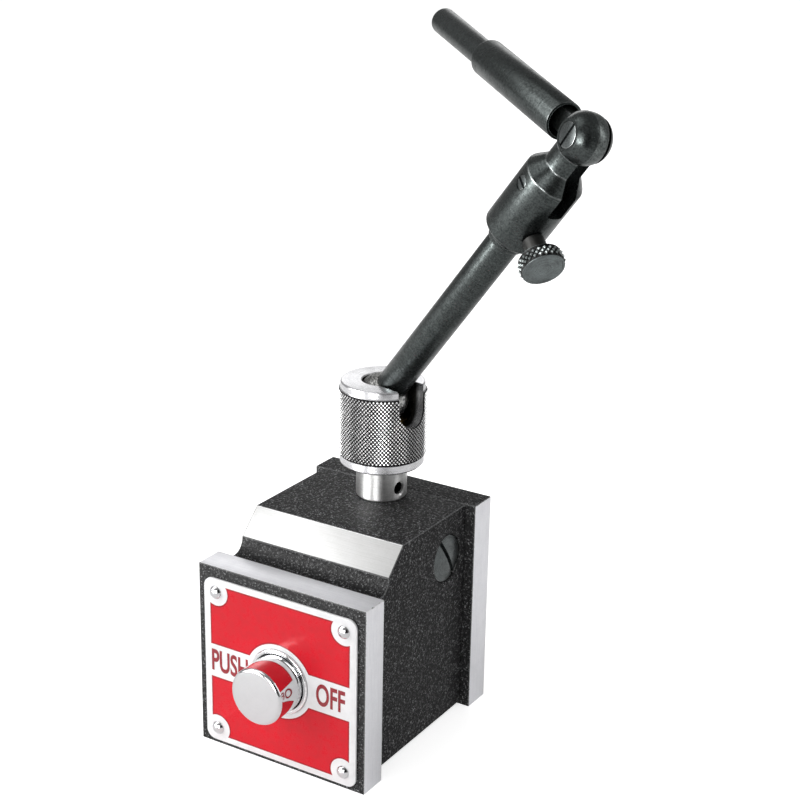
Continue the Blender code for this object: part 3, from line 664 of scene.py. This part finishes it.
# A darker copy of the ground steel: painted shade on the chamfer.
GROUND_SLOPE_SHADED = metal(
    "Ground slope painted shade", (0.56, 0.56, 0.56), (0.34, 0.34, 0.325), STEEL_WORN,
    roughness=0.36, lines=(0.1, 5.0, 5.0), marks=0.4, stains=0.1, wear=0.9, spread=0.06, relief=0.02,
    metallic=0.6, grain=0.1,
)
CHROME = metal(
    "Chrome", (0.66, 0.66, 0.67), (0.56, 0.56, 0.57), (0.95, 0.95, 0.95),
    roughness=0.07, lines=3.0, marks=0.15, stains=0.2, wear=0.6, spread=0.05, relief=0.004, grain=0.0,
)
SATIN = metal(
    "Satin silver", (0.97, 0.97, 0.96), (0.6, 0.6, 0.6), (1.0, 1.0, 1.0),
    roughness=0.36, lines=3.0, marks=0.35, stains=0.15, wear=0.8, spread=0.06, relief=0.015, metallic=0.9,
    grain=0.3, brushed=0.85,
)
BALL_STEEL = metal(
    "Ball steel", (0.62, 0.62, 0.6), (0.05, 0.05, 0.05), (0.9, 0.9, 0.9),
    roughness=0.4, lines=3.0, marks=0.4, stains=0.5, wear=0.5, spread=0.15, relief=0.08, grain=0.8,
)
OXIDE_WORN = (0.2, 0.21, 0.21)
OXIDE = metal(
    "Black oxide", (0.088, 0.099, 0.097), (0.016, 0.019, 0.019), OXIDE_WORN,
    roughness=0.27, lines=2.4, marks=0.3, stains=0.3, wear=0.6, spread=0.1, relief=0.03, metallic=0.9,
    grain=0.5,
)
# A lighter copy of the black oxide: painted highlight on the tongue.
TONGUE_OXIDE_HIGHLIT = metal(
    "Tongue oxide painted highlight", (0.2, 0.22, 0.215), (0.05, 0.056, 0.055), OXIDE_WORN,
    roughness=0.32, lines=2.4, marks=0.3, stains=0.3, wear=0.6, spread=0.1, relief=0.03, metallic=0.9,
    grain=0.6,
)
STEM_OXIDE = metal(
    "Stem oxide", (0.085, 0.094, 0.093), (0.03, 0.034, 0.034), OXIDE_WORN,
    roughness=0.28, lines=4.0, marks=0.25, stains=0.3, wear=0.5, spread=0.1, relief=0.02, metallic=0.9,
    grain=0.4,
)
BLUED = metal(
    "Blued steel", (0.15, 0.165, 0.165), (0.04, 0.045, 0.045), (0.45, 0.46, 0.46),
    roughness=0.3, lines=4.0, marks=0.5, stains=0.3, wear=0.7, spread=0.12, relief=0.02, metallic=0.9,
)
BRASS = metal(
    "Turned brass", (0.36, 0.24, 0.09), (0.08, 0.05, 0.02), (0.6, 0.45, 0.2),
    roughness=0.35, lines=4.0, marks=0.5, stains=0.5, wear=0.5, spread=0.1, relief=0.02, own=False,
)
SHOE_STEEL = metal(
    "Machined steel", (0.6, 0.6, 0.6), (0.4, 0.4, 0.41), (0.8, 0.8, 0.8),
    roughness=0.32, lines=(4.0, 1.0, 4.0), marks=0.5, stains=0.3, wear=0.5, spread=0.1, relief=0.02, own=False,
)
MAGNET = metal(
    "Cast magnet alloy", (0.3, 0.3, 0.31), (0.18, 0.18, 0.19), (0.5, 0.5, 0.5),
    roughness=0.5, lines=(1.5, 1.5, 1.5), marks=0.6, stains=0.5, wear=0.3, spread=0.15, relief=0.08, own=False,
)
HIDDEN_BLUED = metal(
    "Blued screw steel", (0.085, 0.09, 0.095), (0.035, 0.038, 0.042), (0.45, 0.46, 0.47),
    roughness=0.3, lines=(3.0, 3.0, 3.0), marks=0.5, stains=0.3, wear=0.7, spread=0.12, relief=0.02, own=False,
)


# Pieces


def finished(node, body, shape, place, finishes, pick=None, name=None, sharp=35.0):
    """The shape, made the piece that stands for its CAD node; pick gives a face's finish by number."""
    name = name or node + "_finished"
    for face in shape.faces:
        face.smooth = True
        face.material_index = pick(face) if pick else 0
    mesh = bpy.data.meshes.new(name)
    shape.to_mesh(mesh)
    shape.free()
    own = mesh.attributes.new("own", "FLOAT_VECTOR", "POINT")
    own.data.foreach_set("vector", [value for vert in mesh.vertices for value in vert.co])
    mesh.set_sharp_from_angle(angle=math.radians(sharp))
    mesh.transform(Matrix.Scale(MM, 4) @ place)
    for finish in finishes:
        mesh.materials.append(finish)
    obj = bpy.data.objects.new(name, mesh)
    bpy.context.scene.collection.objects.link(obj)
    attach(obj, body)
    if node:
        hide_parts(node)
    return obj


def corners(pitch):
    half = pitch / 2
    return [(x * half, z * half) for z in (1, -1) for x in (-1, 1)]


def along_y(x, z, y=0.0):
    return at(x, y, z) @ ALONG_Y


def build_housing():
    front = FRONT_INNER + SEAT
    back = REAR_INNER - SEAT
    reach = math.degrees(math.acos((COVE[0] - front) / COVE_RADIUS))
    cove = arc(COVE, COVE_RADIUS, 180 + reach, 360, 16)
    outline = [
        (front, FOOT_LIFT), (front, cove[0][1]), *cove[1:], CHAMFER_FOOT,
        (CHAMFER_FOOT[0] + CHAMFER, TOP), (back, TOP), (back, FOOT_LIFT),
    ]
    half = HOUSING_WIDTH / 2
    shape = soften(extruded(outline, -half, half), 0.3, 3)
    thread = PLUG_THREAD + SEAT
    seat = PLUG_HEAD + 2 * SEAT
    flared = PLUG_HEAD + 0.9
    plug_hole = [
        (0, -12), (thread, -12), (thread, -PLUG_RECESS), (seat, -PLUG_RECESS), (seat, -0.3), (flared, 0.4), (0, 0.4),
    ]
    holes = [
        placed(rod(GUIDE_RADIUS + SEAT, front - 2, back + 2), along_y(0, BUTTON_Z)),
        placed(rod(STUD_TENON + SEAT, -STUD_TENON_DEPTH - 1, 1), at(0, STUD_Y, TOP)),
        placed(turned(plug_hole), at(*PLUG_PLACE) @ ALONG_X),
    ]
    for x, z in corners(POLE_SCREW_PITCH):
        front_hole = (front - 1, FRONT_INNER + POLE_SCREW_GRIP + 1)
        rear_hole = (REAR_INNER - POLE_SCREW_GRIP - 1, back + 1)
        for start, end in (front_hole, rear_hole):
            holes.append(placed(rod(POLE_SCREW_SHANK + SEAT, start, end, 24), along_y(x, BUTTON_Z + z)))
    shape = cut(shape, *holes)
    slope = Vector((0, -1, 1)).normalized()

    def ground(face):
        return int(face.normal.dot(slope) > 0.985 and face.calc_center_median().y > CHAMFER_FOOT[0] + 0.5)

    finished("housing", "base", shape, IDENTITY, [PAINT, GROUND_SLOPE_SHADED], ground)


def build_poles():
    half = POLE_WIDTH / 2
    for node, face, inner, height, out in (
        ("front_pole", FRONT_FACE, FRONT_INNER, FRONT_POLE_HEIGHT, -1),
        ("rear_pole", REAR_FACE, REAR_INNER, TOP, 1),
    ):
        low, high = sorted((face, inner))
        shape = soften(block((-half, low, 0), (half, high, height)), 0.25, 3)
        holes = [placed(rod(BUSH_RADIUS + SEAT, low - 1, high + 1), along_y(0, BUTTON_Z))]
        recess = sorted((face + out, face - out * POLE_SCREW_RECESS))
        for x, z in corners(POLE_SCREW_PITCH):
            holes.append(placed(rod(POLE_SCREW_SHANK + SEAT, low - 1, high + 1, 24), along_y(x, BUTTON_Z + z)))
            holes.append(placed(rod(POLE_SCREW_HEAD + SEAT, *recess, 40), along_y(x, BUTTON_Z + z)))
        if node == "front_pole":
            for x, z in corners(DRIVE_PITCH):
                holes.append(placed(rod(DRIVE_SHANK + SEAT, low - 1, low + 4.1, 20), along_y(x, BUTTON_Z + z)))
        shape = cut(shape, *holes)

        def painted(face, out=out, rear=node == "rear_pole"):
            if rear:
                return int(abs(face.normal.x) < 0.8 and face.normal.z > -0.5)
            return int(face.normal.y * out > 0.5)

        finished(node, "base", shape, IDENTITY, [GROUND, PAINT], painted)


def build_pole_screws():
    """Socket screws in the rear pole."""
    head_end = POLE_SCREW_RECESS - 2 * SEAT
    length = REAR_FACE - REAR_INNER + POLE_SCREW_GRIP
    outline = [
        (0, SEAT), (POLE_SCREW_HEAD - 0.25, SEAT), (POLE_SCREW_HEAD, SEAT + 0.25), (POLE_SCREW_HEAD, head_end),
        (POLE_SCREW_SHANK, head_end), (POLE_SCREW_SHANK, length), (0, length),
    ]
    for number, (x, z) in enumerate(corners(POLE_SCREW_PITCH), 1):
        hexagon = turned([(0, -1), (1.45, -1), (1.45, head_end / 2), (0, head_end / 2 + 0.5)], 6)
        shape = cut(turned(outline, 48), hexagon)
        place = at(x, REAR_FACE, BUTTON_Z + z) @ ALONG_Y @ turn(180, "X")
        finished(f"rear_pole_screw_{number}", "base", shape, place, [BLUED])


def build_name_plate():
    half = PLATE_SIDE / 2
    inner = half - PLATE_CORNER
    outline = []
    for x, z, start in ((inner, inner, 0), (-inner, inner, 90), (-inner, -inner, 180), (inner, -inner, 270)):
        outline += arc((x, z), PLATE_CORNER, start, start + 90, 10)
    back = FRONT_FACE - SEAT
    shape = placed(extruded(outline, -back, -back + PLATE_THICK), turn(-90, "Z"))
    soften(shape, 0.12, 2, 60)
    holes = [placed(rod(BUSH_RADIUS + SEAT, back - 2, back + 1, 128), ALONG_Y)]
    for x, z in corners(DRIVE_PITCH):
        holes.append(placed(rod(DRIVE_SHANK + SEAT, back - 2, back + 1, 20), along_y(x, z)))
    finished("name_plate", "base", cut(shape, *holes), at(0, 0, BUTTON_Z), [ENAMEL])


def word_shape(text, size, squeeze, x, z):
    """A word as a thin raised plate of letters, seen from the front."""
    curve = bpy.data.curves.new("word", "FONT")
    curve.body = text
    curve.size = size
    curve.extrude = 0.04
    curve.offset = 0.17
    curve.resolution_u = 6
    curve.align_x = "CENTER"
    obj = bpy.data.objects.new("word", curve)
    bpy.context.scene.collection.objects.link(obj)
    bpy.context.view_layer.update()
    mesh = bpy.data.meshes.new_from_object(obj.evaluated_get(bpy.context.evaluated_depsgraph_get()))
    shape = bmesh.new()
    shape.from_mesh(mesh)
    bpy.data.objects.remove(obj)
    bpy.data.curves.remove(curve)
    bpy.data.meshes.remove(mesh)
    bmesh.ops.remove_doubles(shape, verts=shape.verts[:], dist=1e-4)
    upright = at(x, FRONT_FACE - SEAT - PLATE_THICK - 0.02, z) @ turn(90, "X") @ Matrix.Diagonal((squeeze, 1, 1, 1))
    return placed(shape, upright)


def build_lettering():
    for name, text, x in (("push_lettering", "PUSH", -14.4), ("off_lettering", "OFF", 14.7)):
        shape = word_shape(text, 7.8, 0.6, x, -2.5)
        finished(None, "base", shape, at(0, 0, BUTTON_Z), [LETTER_RED], name=name)


def build_drive_screws():
    head_back = FRONT_FACE - PLATE_THICK - 2 * SEAT
    radius = (DRIVE_HEAD**2 + DRIVE_RISE**2) / (2 * DRIVE_RISE)
    reach = math.degrees(math.asin(DRIVE_HEAD / radius))
    dome = arc((0, radius - DRIVE_RISE), radius, -90, -90 + reach, 8)
    length = FRONT_FACE + 4.0 - head_back
    profile = [(0, -DRIVE_RISE), *dome[1:], (DRIVE_SHANK, 0), (DRIVE_SHANK, length), (0, length)]
    for number, (x, z) in enumerate(corners(DRIVE_PITCH), 1):
        shape = soften(turned(profile, 40), 0.06, 2, 40)
        place = along_y(x, BUTTON_Z + z, head_back)
        finished(f"drive_screw_{number}", "base", shape, place, [CHROME])


def build_bushes():
    inner = BUTTON_RADIUS + RUN
    lip = 0.35
    for node, start, end in (
        ("front_bush", FRONT_FACE - PLATE_THICK - BUSH_PROUD, FRONT_INNER),
        ("rear_bush", REAR_INNER, REAR_FACE + BUSH_PROUD),
    ):
        shape = turned([(inner, start), (BUSH_RADIUS, start), (BUSH_RADIUS, end), (inner, end)], 128)
        finished(node, "base", soften(shape, lip, 3), along_y(0, BUTTON_Z), [CHROME])


def build_buttons():
    face = arc((BUTTON_RADIUS - BUTTON_EDGE, BUTTON_EDGE), BUTTON_EDGE, -90, 0, 10)
    for node, tip, back, place in (
        ("front_button", FRONT_FACE - BUTTON_OUT, 1.35, ALONG_Y),
        ("rear_button", 55.3, 37.4, ALONG_Y @ turn(180, "X")),
    ):
        length = abs(back - tip)
        bore = 3.1
        profile = [(0, 0), *face, (BUTTON_RADIUS, length), (bore, length), (bore, length - 4), (0, length - 4)]
        shape = soften(turned(profile, 128), 0.15, 2, 50)
        finished(node, "magnet_unit", shape, at(0, tip, BUTTON_Z) @ place, [CHROME])


def build_side_plug():
    head = PLUG_RECESS - SEAT
    dome = [(PLUG_HEAD * step / 12, 0.35 - 0.7 * (step / 12) ** 2) for step in range(12, -1, -1)]
    length = PLUG_RECESS + PLUG_LENGTH - 2 * SEAT
    profile = [(0, -length), (PLUG_THREAD, -length), (PLUG_THREAD, -head), (PLUG_HEAD, -head), *dome]
    shape = soften(turned(profile, 72), 0.1, 2, 40)
    slot = placed(block((-0.9, -7, -0.55), (2, 7, 0.55)), turn(-59, "X"))
    shape = cut(placed(shape, ALONG_X), slot)
    place = at(*PLUG_PLACE) @ ALONG_X
    finished("side_plug", "base", placed(shape, ALONG_X.inverted()), place, [BLUED])


def build_stud():
    top = STUD_COLLAR + 7.0
    soft = 0.5
    profile = [
        (0, -STUD_TENON_DEPTH), (STUD_TENON - soft, -STUD_TENON_DEPTH), (STUD_TENON, soft - STUD_TENON_DEPTH),
        (STUD_TENON, SEAT), (STUD_RADIUS - 0.3, SEAT), (STUD_RADIUS, SEAT + 0.3), (STUD_RADIUS, STUD_COLLAR),
        (STUD_THREAD, STUD_COLLAR + soft), (STUD_THREAD, top - soft), (STUD_THREAD - soft, top), (0, top),
    ]
    shape = soften(turned(profile, 96), 0.12, 2, 25)
    across = turn(POST_TURN, "Z") @ ALONG_X
    bore = []
    for side in (1, -1):
        mouth = side * STUD_RADIUS
        deep, start, end = mouth - side * 1.0, mouth - side * 0.42, mouth + side * 0.33
        wide = TOMMY_RADIUS + 0.75
        flare = turned([(0, deep), (TOMMY_RADIUS, deep), (TOMMY_RADIUS, start), (wide, end), (0, end)], 40)
        bore.append(placed(flare, at(0, 0, TOMMY_RISE) @ across))
    hole = placed(rod(TOMMY_RADIUS, -STUD_RADIUS - 1, STUD_RADIUS + 1, 40), at(0, 0, TOMMY_RISE) @ across)

    # The inside of the tommy hole takes the dark oxide finish as painted shade.
    def hole_shade(face):
        middle = face.calc_center_median()
        return int(0.5 < middle.z < 6 and middle.xy.length < STUD_RADIUS - 0.7)

    finished("stud", "base", cut(shape, hole, *bore), at(0, STUD_Y, TOP), [SATIN, OXIDE], hole_shade)


def build_socket_nut():
    bore = BALL_RADIUS + RUN
    thread = STUD_THREAD + RUN
    foot = NUT_BOTTOM + 2.55
    crown = NUT_TOP - 2.0
    rows = 32
    columns = 144
    cup = arc((0, 0), bore, 0, math.degrees(math.acos(NUT_MOUTH / bore)), 12)
    rounded = arc((NUT_RIM - 0.55, NUT_TOP - 0.55), 0.55, 0, 90, 5)
    outside = [
        (NUT_RIM - 0.5, NUT_BOTTOM), (NUT_RIM, NUT_BOTTOM + 0.5), (NUT_RIM, foot - 0.3),
        *knurl_line(NUT_RADIUS, foot, crown, rows), (NUT_RIM, crown + 0.3), *rounded,
    ]
    inside = [
        (NUT_MOUTH + 0.25, NUT_TOP), (NUT_MOUTH, NUT_TOP - 0.25), *reversed(cup), (bore, -BALL_RADIUS / 2),
        (thread, -BALL_RADIUS / 2), (thread, NUT_BOTTOM + 0.3), (thread + 0.3, NUT_BOTTOM),
    ]
    shape = knurl(turned(outside + inside, columns), NUT_RADIUS, foot, crown, columns, rows, 0.42)
    half = NUT_SLOT / 2
    floor = arc((0, half - NUT_SLOT_FLOOR), half, 180, 360, 24)
    slot = extruded([(half, NUT_TOP + 1), (-half, NUT_TOP + 1), *floor], 0, NUT_RADIUS + 1)
    finished("socket_nut", "nut", cut(shape, slot), NUT_FRAME, [KNURLED], sharp=28.0)


def build_post():
    flat = POST_START - SEAT
    foot = POST_START - 3.5
    hole = 2.5
    outside = arc((0, 0), BALL_RADIUS, -90, math.degrees(math.asin(flat / BALL_RADIUS)), 32)
    profile = [(0, -BALL_RADIUS), *outside[1:], (hole, flat), (hole, foot - SEAT), (0, foot - SEAT)]
    finished("post_ball", "post", turned(profile, 96), POST_FRAME, [BALL_STEEL])
    profile = [
        (0, foot), (POST_TENON, foot), (POST_TENON, POST_START), (POST_RADIUS, POST_START),
        (POST_RADIUS, POST_LENGTH), (0, POST_LENGTH),
    ]
    finished("post_rod", "post", soften(turned(profile, 96), 0.3, 3), POST_FRAME, [OXIDE])


def build_swivel_head():
    bore = POST_RADIUS + RUN
    neck = math.degrees(math.acos(NECK_RADIUS / KNUCKLE_RADIUS))
    ball = arc((0, KNUCKLE_HEIGHT), KNUCKLE_RADIUS, -neck, 90, 26)
    bore_end = POST_LENGTH + 3 * SEAT
    profile = [
        (0, bore_end), (bore, bore_end), (bore, COLLAR_START), (COLLAR_RADIUS, COLLAR_START),
        (COLLAR_RADIUS, COLLAR_END), (BARREL_RADIUS, BARREL_START), (BARREL_RADIUS, BARREL_END),
        (NECK_RADIUS, NECK_START), *ball[:-1], (0, KNUCKLE_HEIGHT + KNUCKLE_RADIUS),
    ]
    shape = soften(turned(profile, 96), 0.22, 3, 20)
    wide = BARREL_RADIUS + 1
    top = KNUCKLE_HEIGHT + KNUCKLE_RADIUS + 1
    pivot = at(0, 0, KNUCKLE_HEIGHT) @ ALONG_X
    grub_start = BARREL_RADIUS - GRUB_LENGTH - 2 * SEAT
    shape = cut(
        shape,
        block((FORK_SLOT[0], -wide, FORK_FLOOR), (FORK_SLOT[1], wide, top)),
        block((FLAT_AT, -wide, NECK_START), (KNUCKLE_RADIUS + 1, wide, top)),
        placed(rod(PIVOT_SHANK + SEAT, -wide, wide, 40), pivot),
        placed(rod(PIVOT_HEAD + SEAT, FLAT_AT - PIVOT_HEAD_THICK, wide, 64), pivot),
        placed(rod(THUMB_THREAD + SEAT, 0, wide, 40), at(0, 0, THUMB_HEIGHT) @ ALONG_Y),
        placed(rod(GRUB_RADIUS + SEAT, grub_start, wide, 40), at(0, 0, GRUB_HEIGHT) @ ALONG_X),
    )

    def fork_edge(edge):
        return all(abs(vert.co.x - FORK_SLOT[1]) < 0.01 and vert.co.z > BARREL_END for vert in edge.verts)

    shape = soften(shape, 0.18, 2, 30, fork_edge)
    finished("swivel_head", "head", shape, HEAD_FRAME, [OXIDE])


def slotted_screw(outline, slot_floor, slot_half, reach, slot_turn):
    slot = placed(block((-reach, -slot_half, slot_floor), (reach, slot_half, slot_floor + 5)), turn(slot_turn, "Z"))
    return cut(soften(turned(outline, 64), 0.1, 2, 40), slot)


def build_head_screws():
    start = SEAT - KNUCKLE_RADIUS + 1.1
    back = FLAT_AT - PIVOT_HEAD_THICK + SEAT
    outline = [
        (0, start), (PIVOT_SHANK, start), (PIVOT_SHANK, back), (PIVOT_HEAD, back), (PIVOT_HEAD, FLAT_AT), (0, FLAT_AT),
    ]
    shape = slotted_screw(outline, FLAT_AT - 0.7, 0.35, 4, 5)
    place = HEAD_FRAME @ at(0, 0, KNUCKLE_HEIGHT) @ ALONG_X
    finished("pivot_screw", "head", shape, place, [BLUED])
    end = BARREL_RADIUS - 2 * SEAT
    outline = [(0, end - GRUB_LENGTH), (GRUB_RADIUS, end - GRUB_LENGTH), (GRUB_RADIUS, end), (0, end)]
    shape = slotted_screw(outline, end - 0.6, 0.3, 3, 90)
    place = HEAD_FRAME @ at(0, 0, GRUB_HEIGHT) @ ALONG_X
    finished("grub_screw", "head", shape, place, [BLUED])


def build_thumb_screw():
    start = 4.9
    neck = BARREL_RADIUS + 0.35
    low = THUMB_BACK + 0.3
    high = THUMB_FACE - 0.3
    rows = 4
    columns = 48
    outline = [
        (0, start), (THUMB_THREAD, start), (THUMB_THREAD, neck), (THUMB_NECK, neck), (THUMB_NECK, THUMB_BACK),
        (THUMB_RADIUS - 0.5, THUMB_BACK), *knurl_line(THUMB_RADIUS, low, high, rows), (THUMB_RADIUS - 0.5, THUMB_FACE),
        (THUMB_RADIUS - 0.95, THUMB_FACE), (THUMB_RADIUS - 1.1, THUMB_FACE - 0.12), (0, THUMB_FACE - 0.12),
    ]
    shape = knurl(turned(outline, columns), THUMB_RADIUS, low, high, columns, rows, 0.5)
    place = HEAD_FRAME @ at(0, 0, THUMB_HEIGHT) @ ALONG_Y
    finished("thumb_screw", "thumb", shape, place, [KNURLED_OXIDE], sharp=28.0)


def build_arm():
    radius = KNUCKLE_RADIUS - SEAT
    rims = [math.degrees(math.asin(side / radius)) for side in TONGUE]
    hole = PIVOT_SHANK + RUN + SEAT
    disc = soften(turned([(hole, TONGUE[1]), (hole, TONGUE[0]), *arc((0, 0), radius, *rims, 8)], 96), 0.15, 2, 40)
    side = TONGUE_WIDTH / 2
    blade = soften(block((TONGUE[0], -side, hole + 0.6), (TONGUE[1], side, SHANK_START + 1)), 0.2, 2)
    shank = rod(SLEEVE_BORE - SEAT, SHANK_START, SHANK_END)
    shape = combined(placed(disc, ALONG_X), "UNION", [blade, shank])
    finished("tongue", "arm", shape, ARM_FRAME, [TONGUE_OXIDE_HIGHLIT])
    stem_hole = STEM_RADIUS + SEAT
    outline = [
        (SLEEVE_BORE, SLEEVE_START), (SLEEVE_RADIUS, SLEEVE_START), (SLEEVE_RADIUS, SLEEVE_END - 0.6),
        (SLEEVE_RADIUS - 0.6, SLEEVE_END), (stem_hole, SLEEVE_END), (stem_hole, SLEEVE_BORE_END),
        (SLEEVE_BORE, SLEEVE_BORE_END),
    ]
    finished("sleeve", "arm", soften(turned(outline), 0.12, 2), ARM_FRAME, [OXIDE])
    tip = arc((STEM_RADIUS - 0.8, STEM_END - 0.8), 0.8, 0, 90, 6)
    outline = [(0, STEM_START), (STEM_RADIUS, STEM_START), *tip, (0, STEM_END)]
    finished("stem", "arm", turned(outline), ARM_FRAME, [STEM_OXIDE])


def finish_hidden_nodes():
    """CAD solids inside the base and the head keep their shape and get a worked finish."""
    finishes = {
        "guide_tube": BRASS, "ball_seat": BRASS, "clamp_pad": BRASS, "magnet": MAGNET,
        "front_shoe": SHOE_STEEL, "rear_shoe": SHOE_STEEL, "plunger_shaft": SHOE_STEEL,
    }
    finishes.update({f"front_pole_screw_{number}": HIDDEN_BLUED for number in range(1, 5)})
    for node, finish in finishes.items():
        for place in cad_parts[node].material_slots:
            place.material = finish


# Studio


def build_floor():
    shape = bmesh.new()
    bmesh.ops.create_grid(shape, x_segments=1, y_segments=1, size=6)
    mesh = bpy.data.meshes.new("floor")
    shape.to_mesh(mesh)
    shape.free()
    floor = bpy.data.objects.new("floor", mesh)
    made, tree, shader, vector = new_material("Pale floor", own=False)
    shade = mixed(tree, noise(tree, vector, 0.01, 2.0), (0.88, 0.88, 0.88, 1), (0.9, 0.9, 0.9, 1))
    tree.links.new(shade, shader.inputs["Base Color"])
    shader.inputs["Roughness"].default_value = 0.6
    shader.inputs["Specular IOR Level"].default_value = 0.1
    shader.inputs["Emission Color"].default_value = (1, 1, 1, 1)
    seen = put(tree, "LightPath").outputs["Is Camera Ray"]
    tree.links.new(ranged(tree, seen, 0, 1, 0.15, 0.7), shader.inputs["Emission Strength"])
    mesh.materials.append(made)
    bpy.context.scene.collection.objects.link(floor)


def soft_light(name, place, target, size, power, glossy=False):
    light = bpy.data.lights.new(name, "AREA")
    light.shape = "RECTANGLE"
    light.size, light.size_y = size
    light.energy = power
    obj = bpy.data.objects.new(name, light)
    obj.location = place
    obj.rotation_euler = (Vector(target) - Vector(place)).to_track_quat("-Z", "Y").to_euler()
    obj.visible_camera = False
    obj.visible_diffuse = not glossy
    bpy.context.scene.collection.objects.link(obj)


def build_black_card():
    """A dark card in front of the base, unseen itself, that shows as a dark band in bright metal."""
    shape = bmesh.new()
    bmesh.ops.create_grid(shape, x_segments=1, y_segments=1, size=0.05)
    mesh = bpy.data.meshes.new("black_card")
    stretch = Matrix.Diagonal((1.6, 3.0, 1, 1))
    placed(shape, at(0.21, -0.19, 0.16) @ turn(39, "Z") @ turn(90, "X") @ stretch).to_mesh(mesh)
    card = bpy.data.objects.new("black_card", mesh)
    made, tree, shader, vector = new_material("Black card", own=False)
    shade = mixed(tree, noise(tree, vector, 0.05, 2.0), (0.01, 0.01, 0.01, 1), (0.015, 0.015, 0.015, 1))
    tree.links.new(shade, shader.inputs["Base Color"])
    shader.inputs["Roughness"].default_value = 0.9
    mesh.materials.append(made)
    card.visible_camera = card.visible_diffuse = card.visible_shadow = False
    bpy.context.scene.collection.objects.link(card)


def build_studio():
    build_floor()
    build_black_card()
    centre = (0.02, 0.02, 0.08)
    soft_light("key_softbox", (-0.95, -0.62, 0.62), centre, (0.7, 1.0), 7.0)
    soft_light("side_softbox", (1.05, 0.35, 0.55), centre, (0.4, 1.0), 2.4)
    soft_light("top_softbox", (-0.5, -0.3, 1.15), centre, (1.0, 1.0), 4.2)
    soft_light("back_softbox", (-0.62, 1.05, 0.5), centre, (0.9, 0.5), 1.6)
    soft_light("front_softbox", (0.15, -1.3, 0.6), centre, (0.7, 0.5), 3.4)
    soft_light("low_left_strip", (-0.5, -0.7, 0.21), (0, 0, 0.2), (0.45, 0.4), 14.0, glossy=True)
    soft_light("low_front_strip", (0.1, -0.7, 0.13), (0, 0, 0.18), (0.25, 0.24), 3.0, glossy=True)
    world = bpy.data.worlds.new("studio")
    bpy.context.scene.world = world
    world.use_nodes = True
    background = world.node_tree.nodes["Background"]
    background.inputs["Color"].default_value = (1, 1, 1, 1)
    seen = world.node_tree.nodes.new("ShaderNodeLightPath").outputs["Is Camera Ray"]
    strength = put(world.node_tree, "MapRange", {"Value": seen, "To Min": 0.3, "To Max": 1.0})
    world.node_tree.links.new(strength.outputs["Result"], background.inputs["Strength"])
    bpy.context.scene.view_settings.view_transform = "Standard"


def build_camera():
    data = bpy.data.cameras.new("camera")
    data.sensor_width = 36.0
    data.lens = 77.562
    data.clip_start = 0.01
    camera = bpy.data.objects.new("camera", data)
    right = Vector((0.84832, 0.52918, 0.01736))
    up = Vector((-0.19268, 0.27800, 0.94105))
    back = Vector((0.49316, -0.80167, 0.33781))
    turned_to = Matrix((right, up, back)).transposed().to_4x4()
    camera.matrix_world = Matrix.Translation((0.21218, -0.29720, 0.22364)) @ turned_to
    bpy.context.scene.collection.objects.link(camera)
    bpy.context.scene.camera = camera


build_housing()
build_poles()
build_pole_screws()
build_name_plate()
build_lettering()
build_drive_screws()
build_bushes()
build_buttons()
build_side_plug()
build_stud()
build_socket_nut()
build_post()
build_swivel_head()
build_head_screws()
build_thumb_screw()
build_arm()
finish_hidden_nodes()
build_studio()
build_camera()
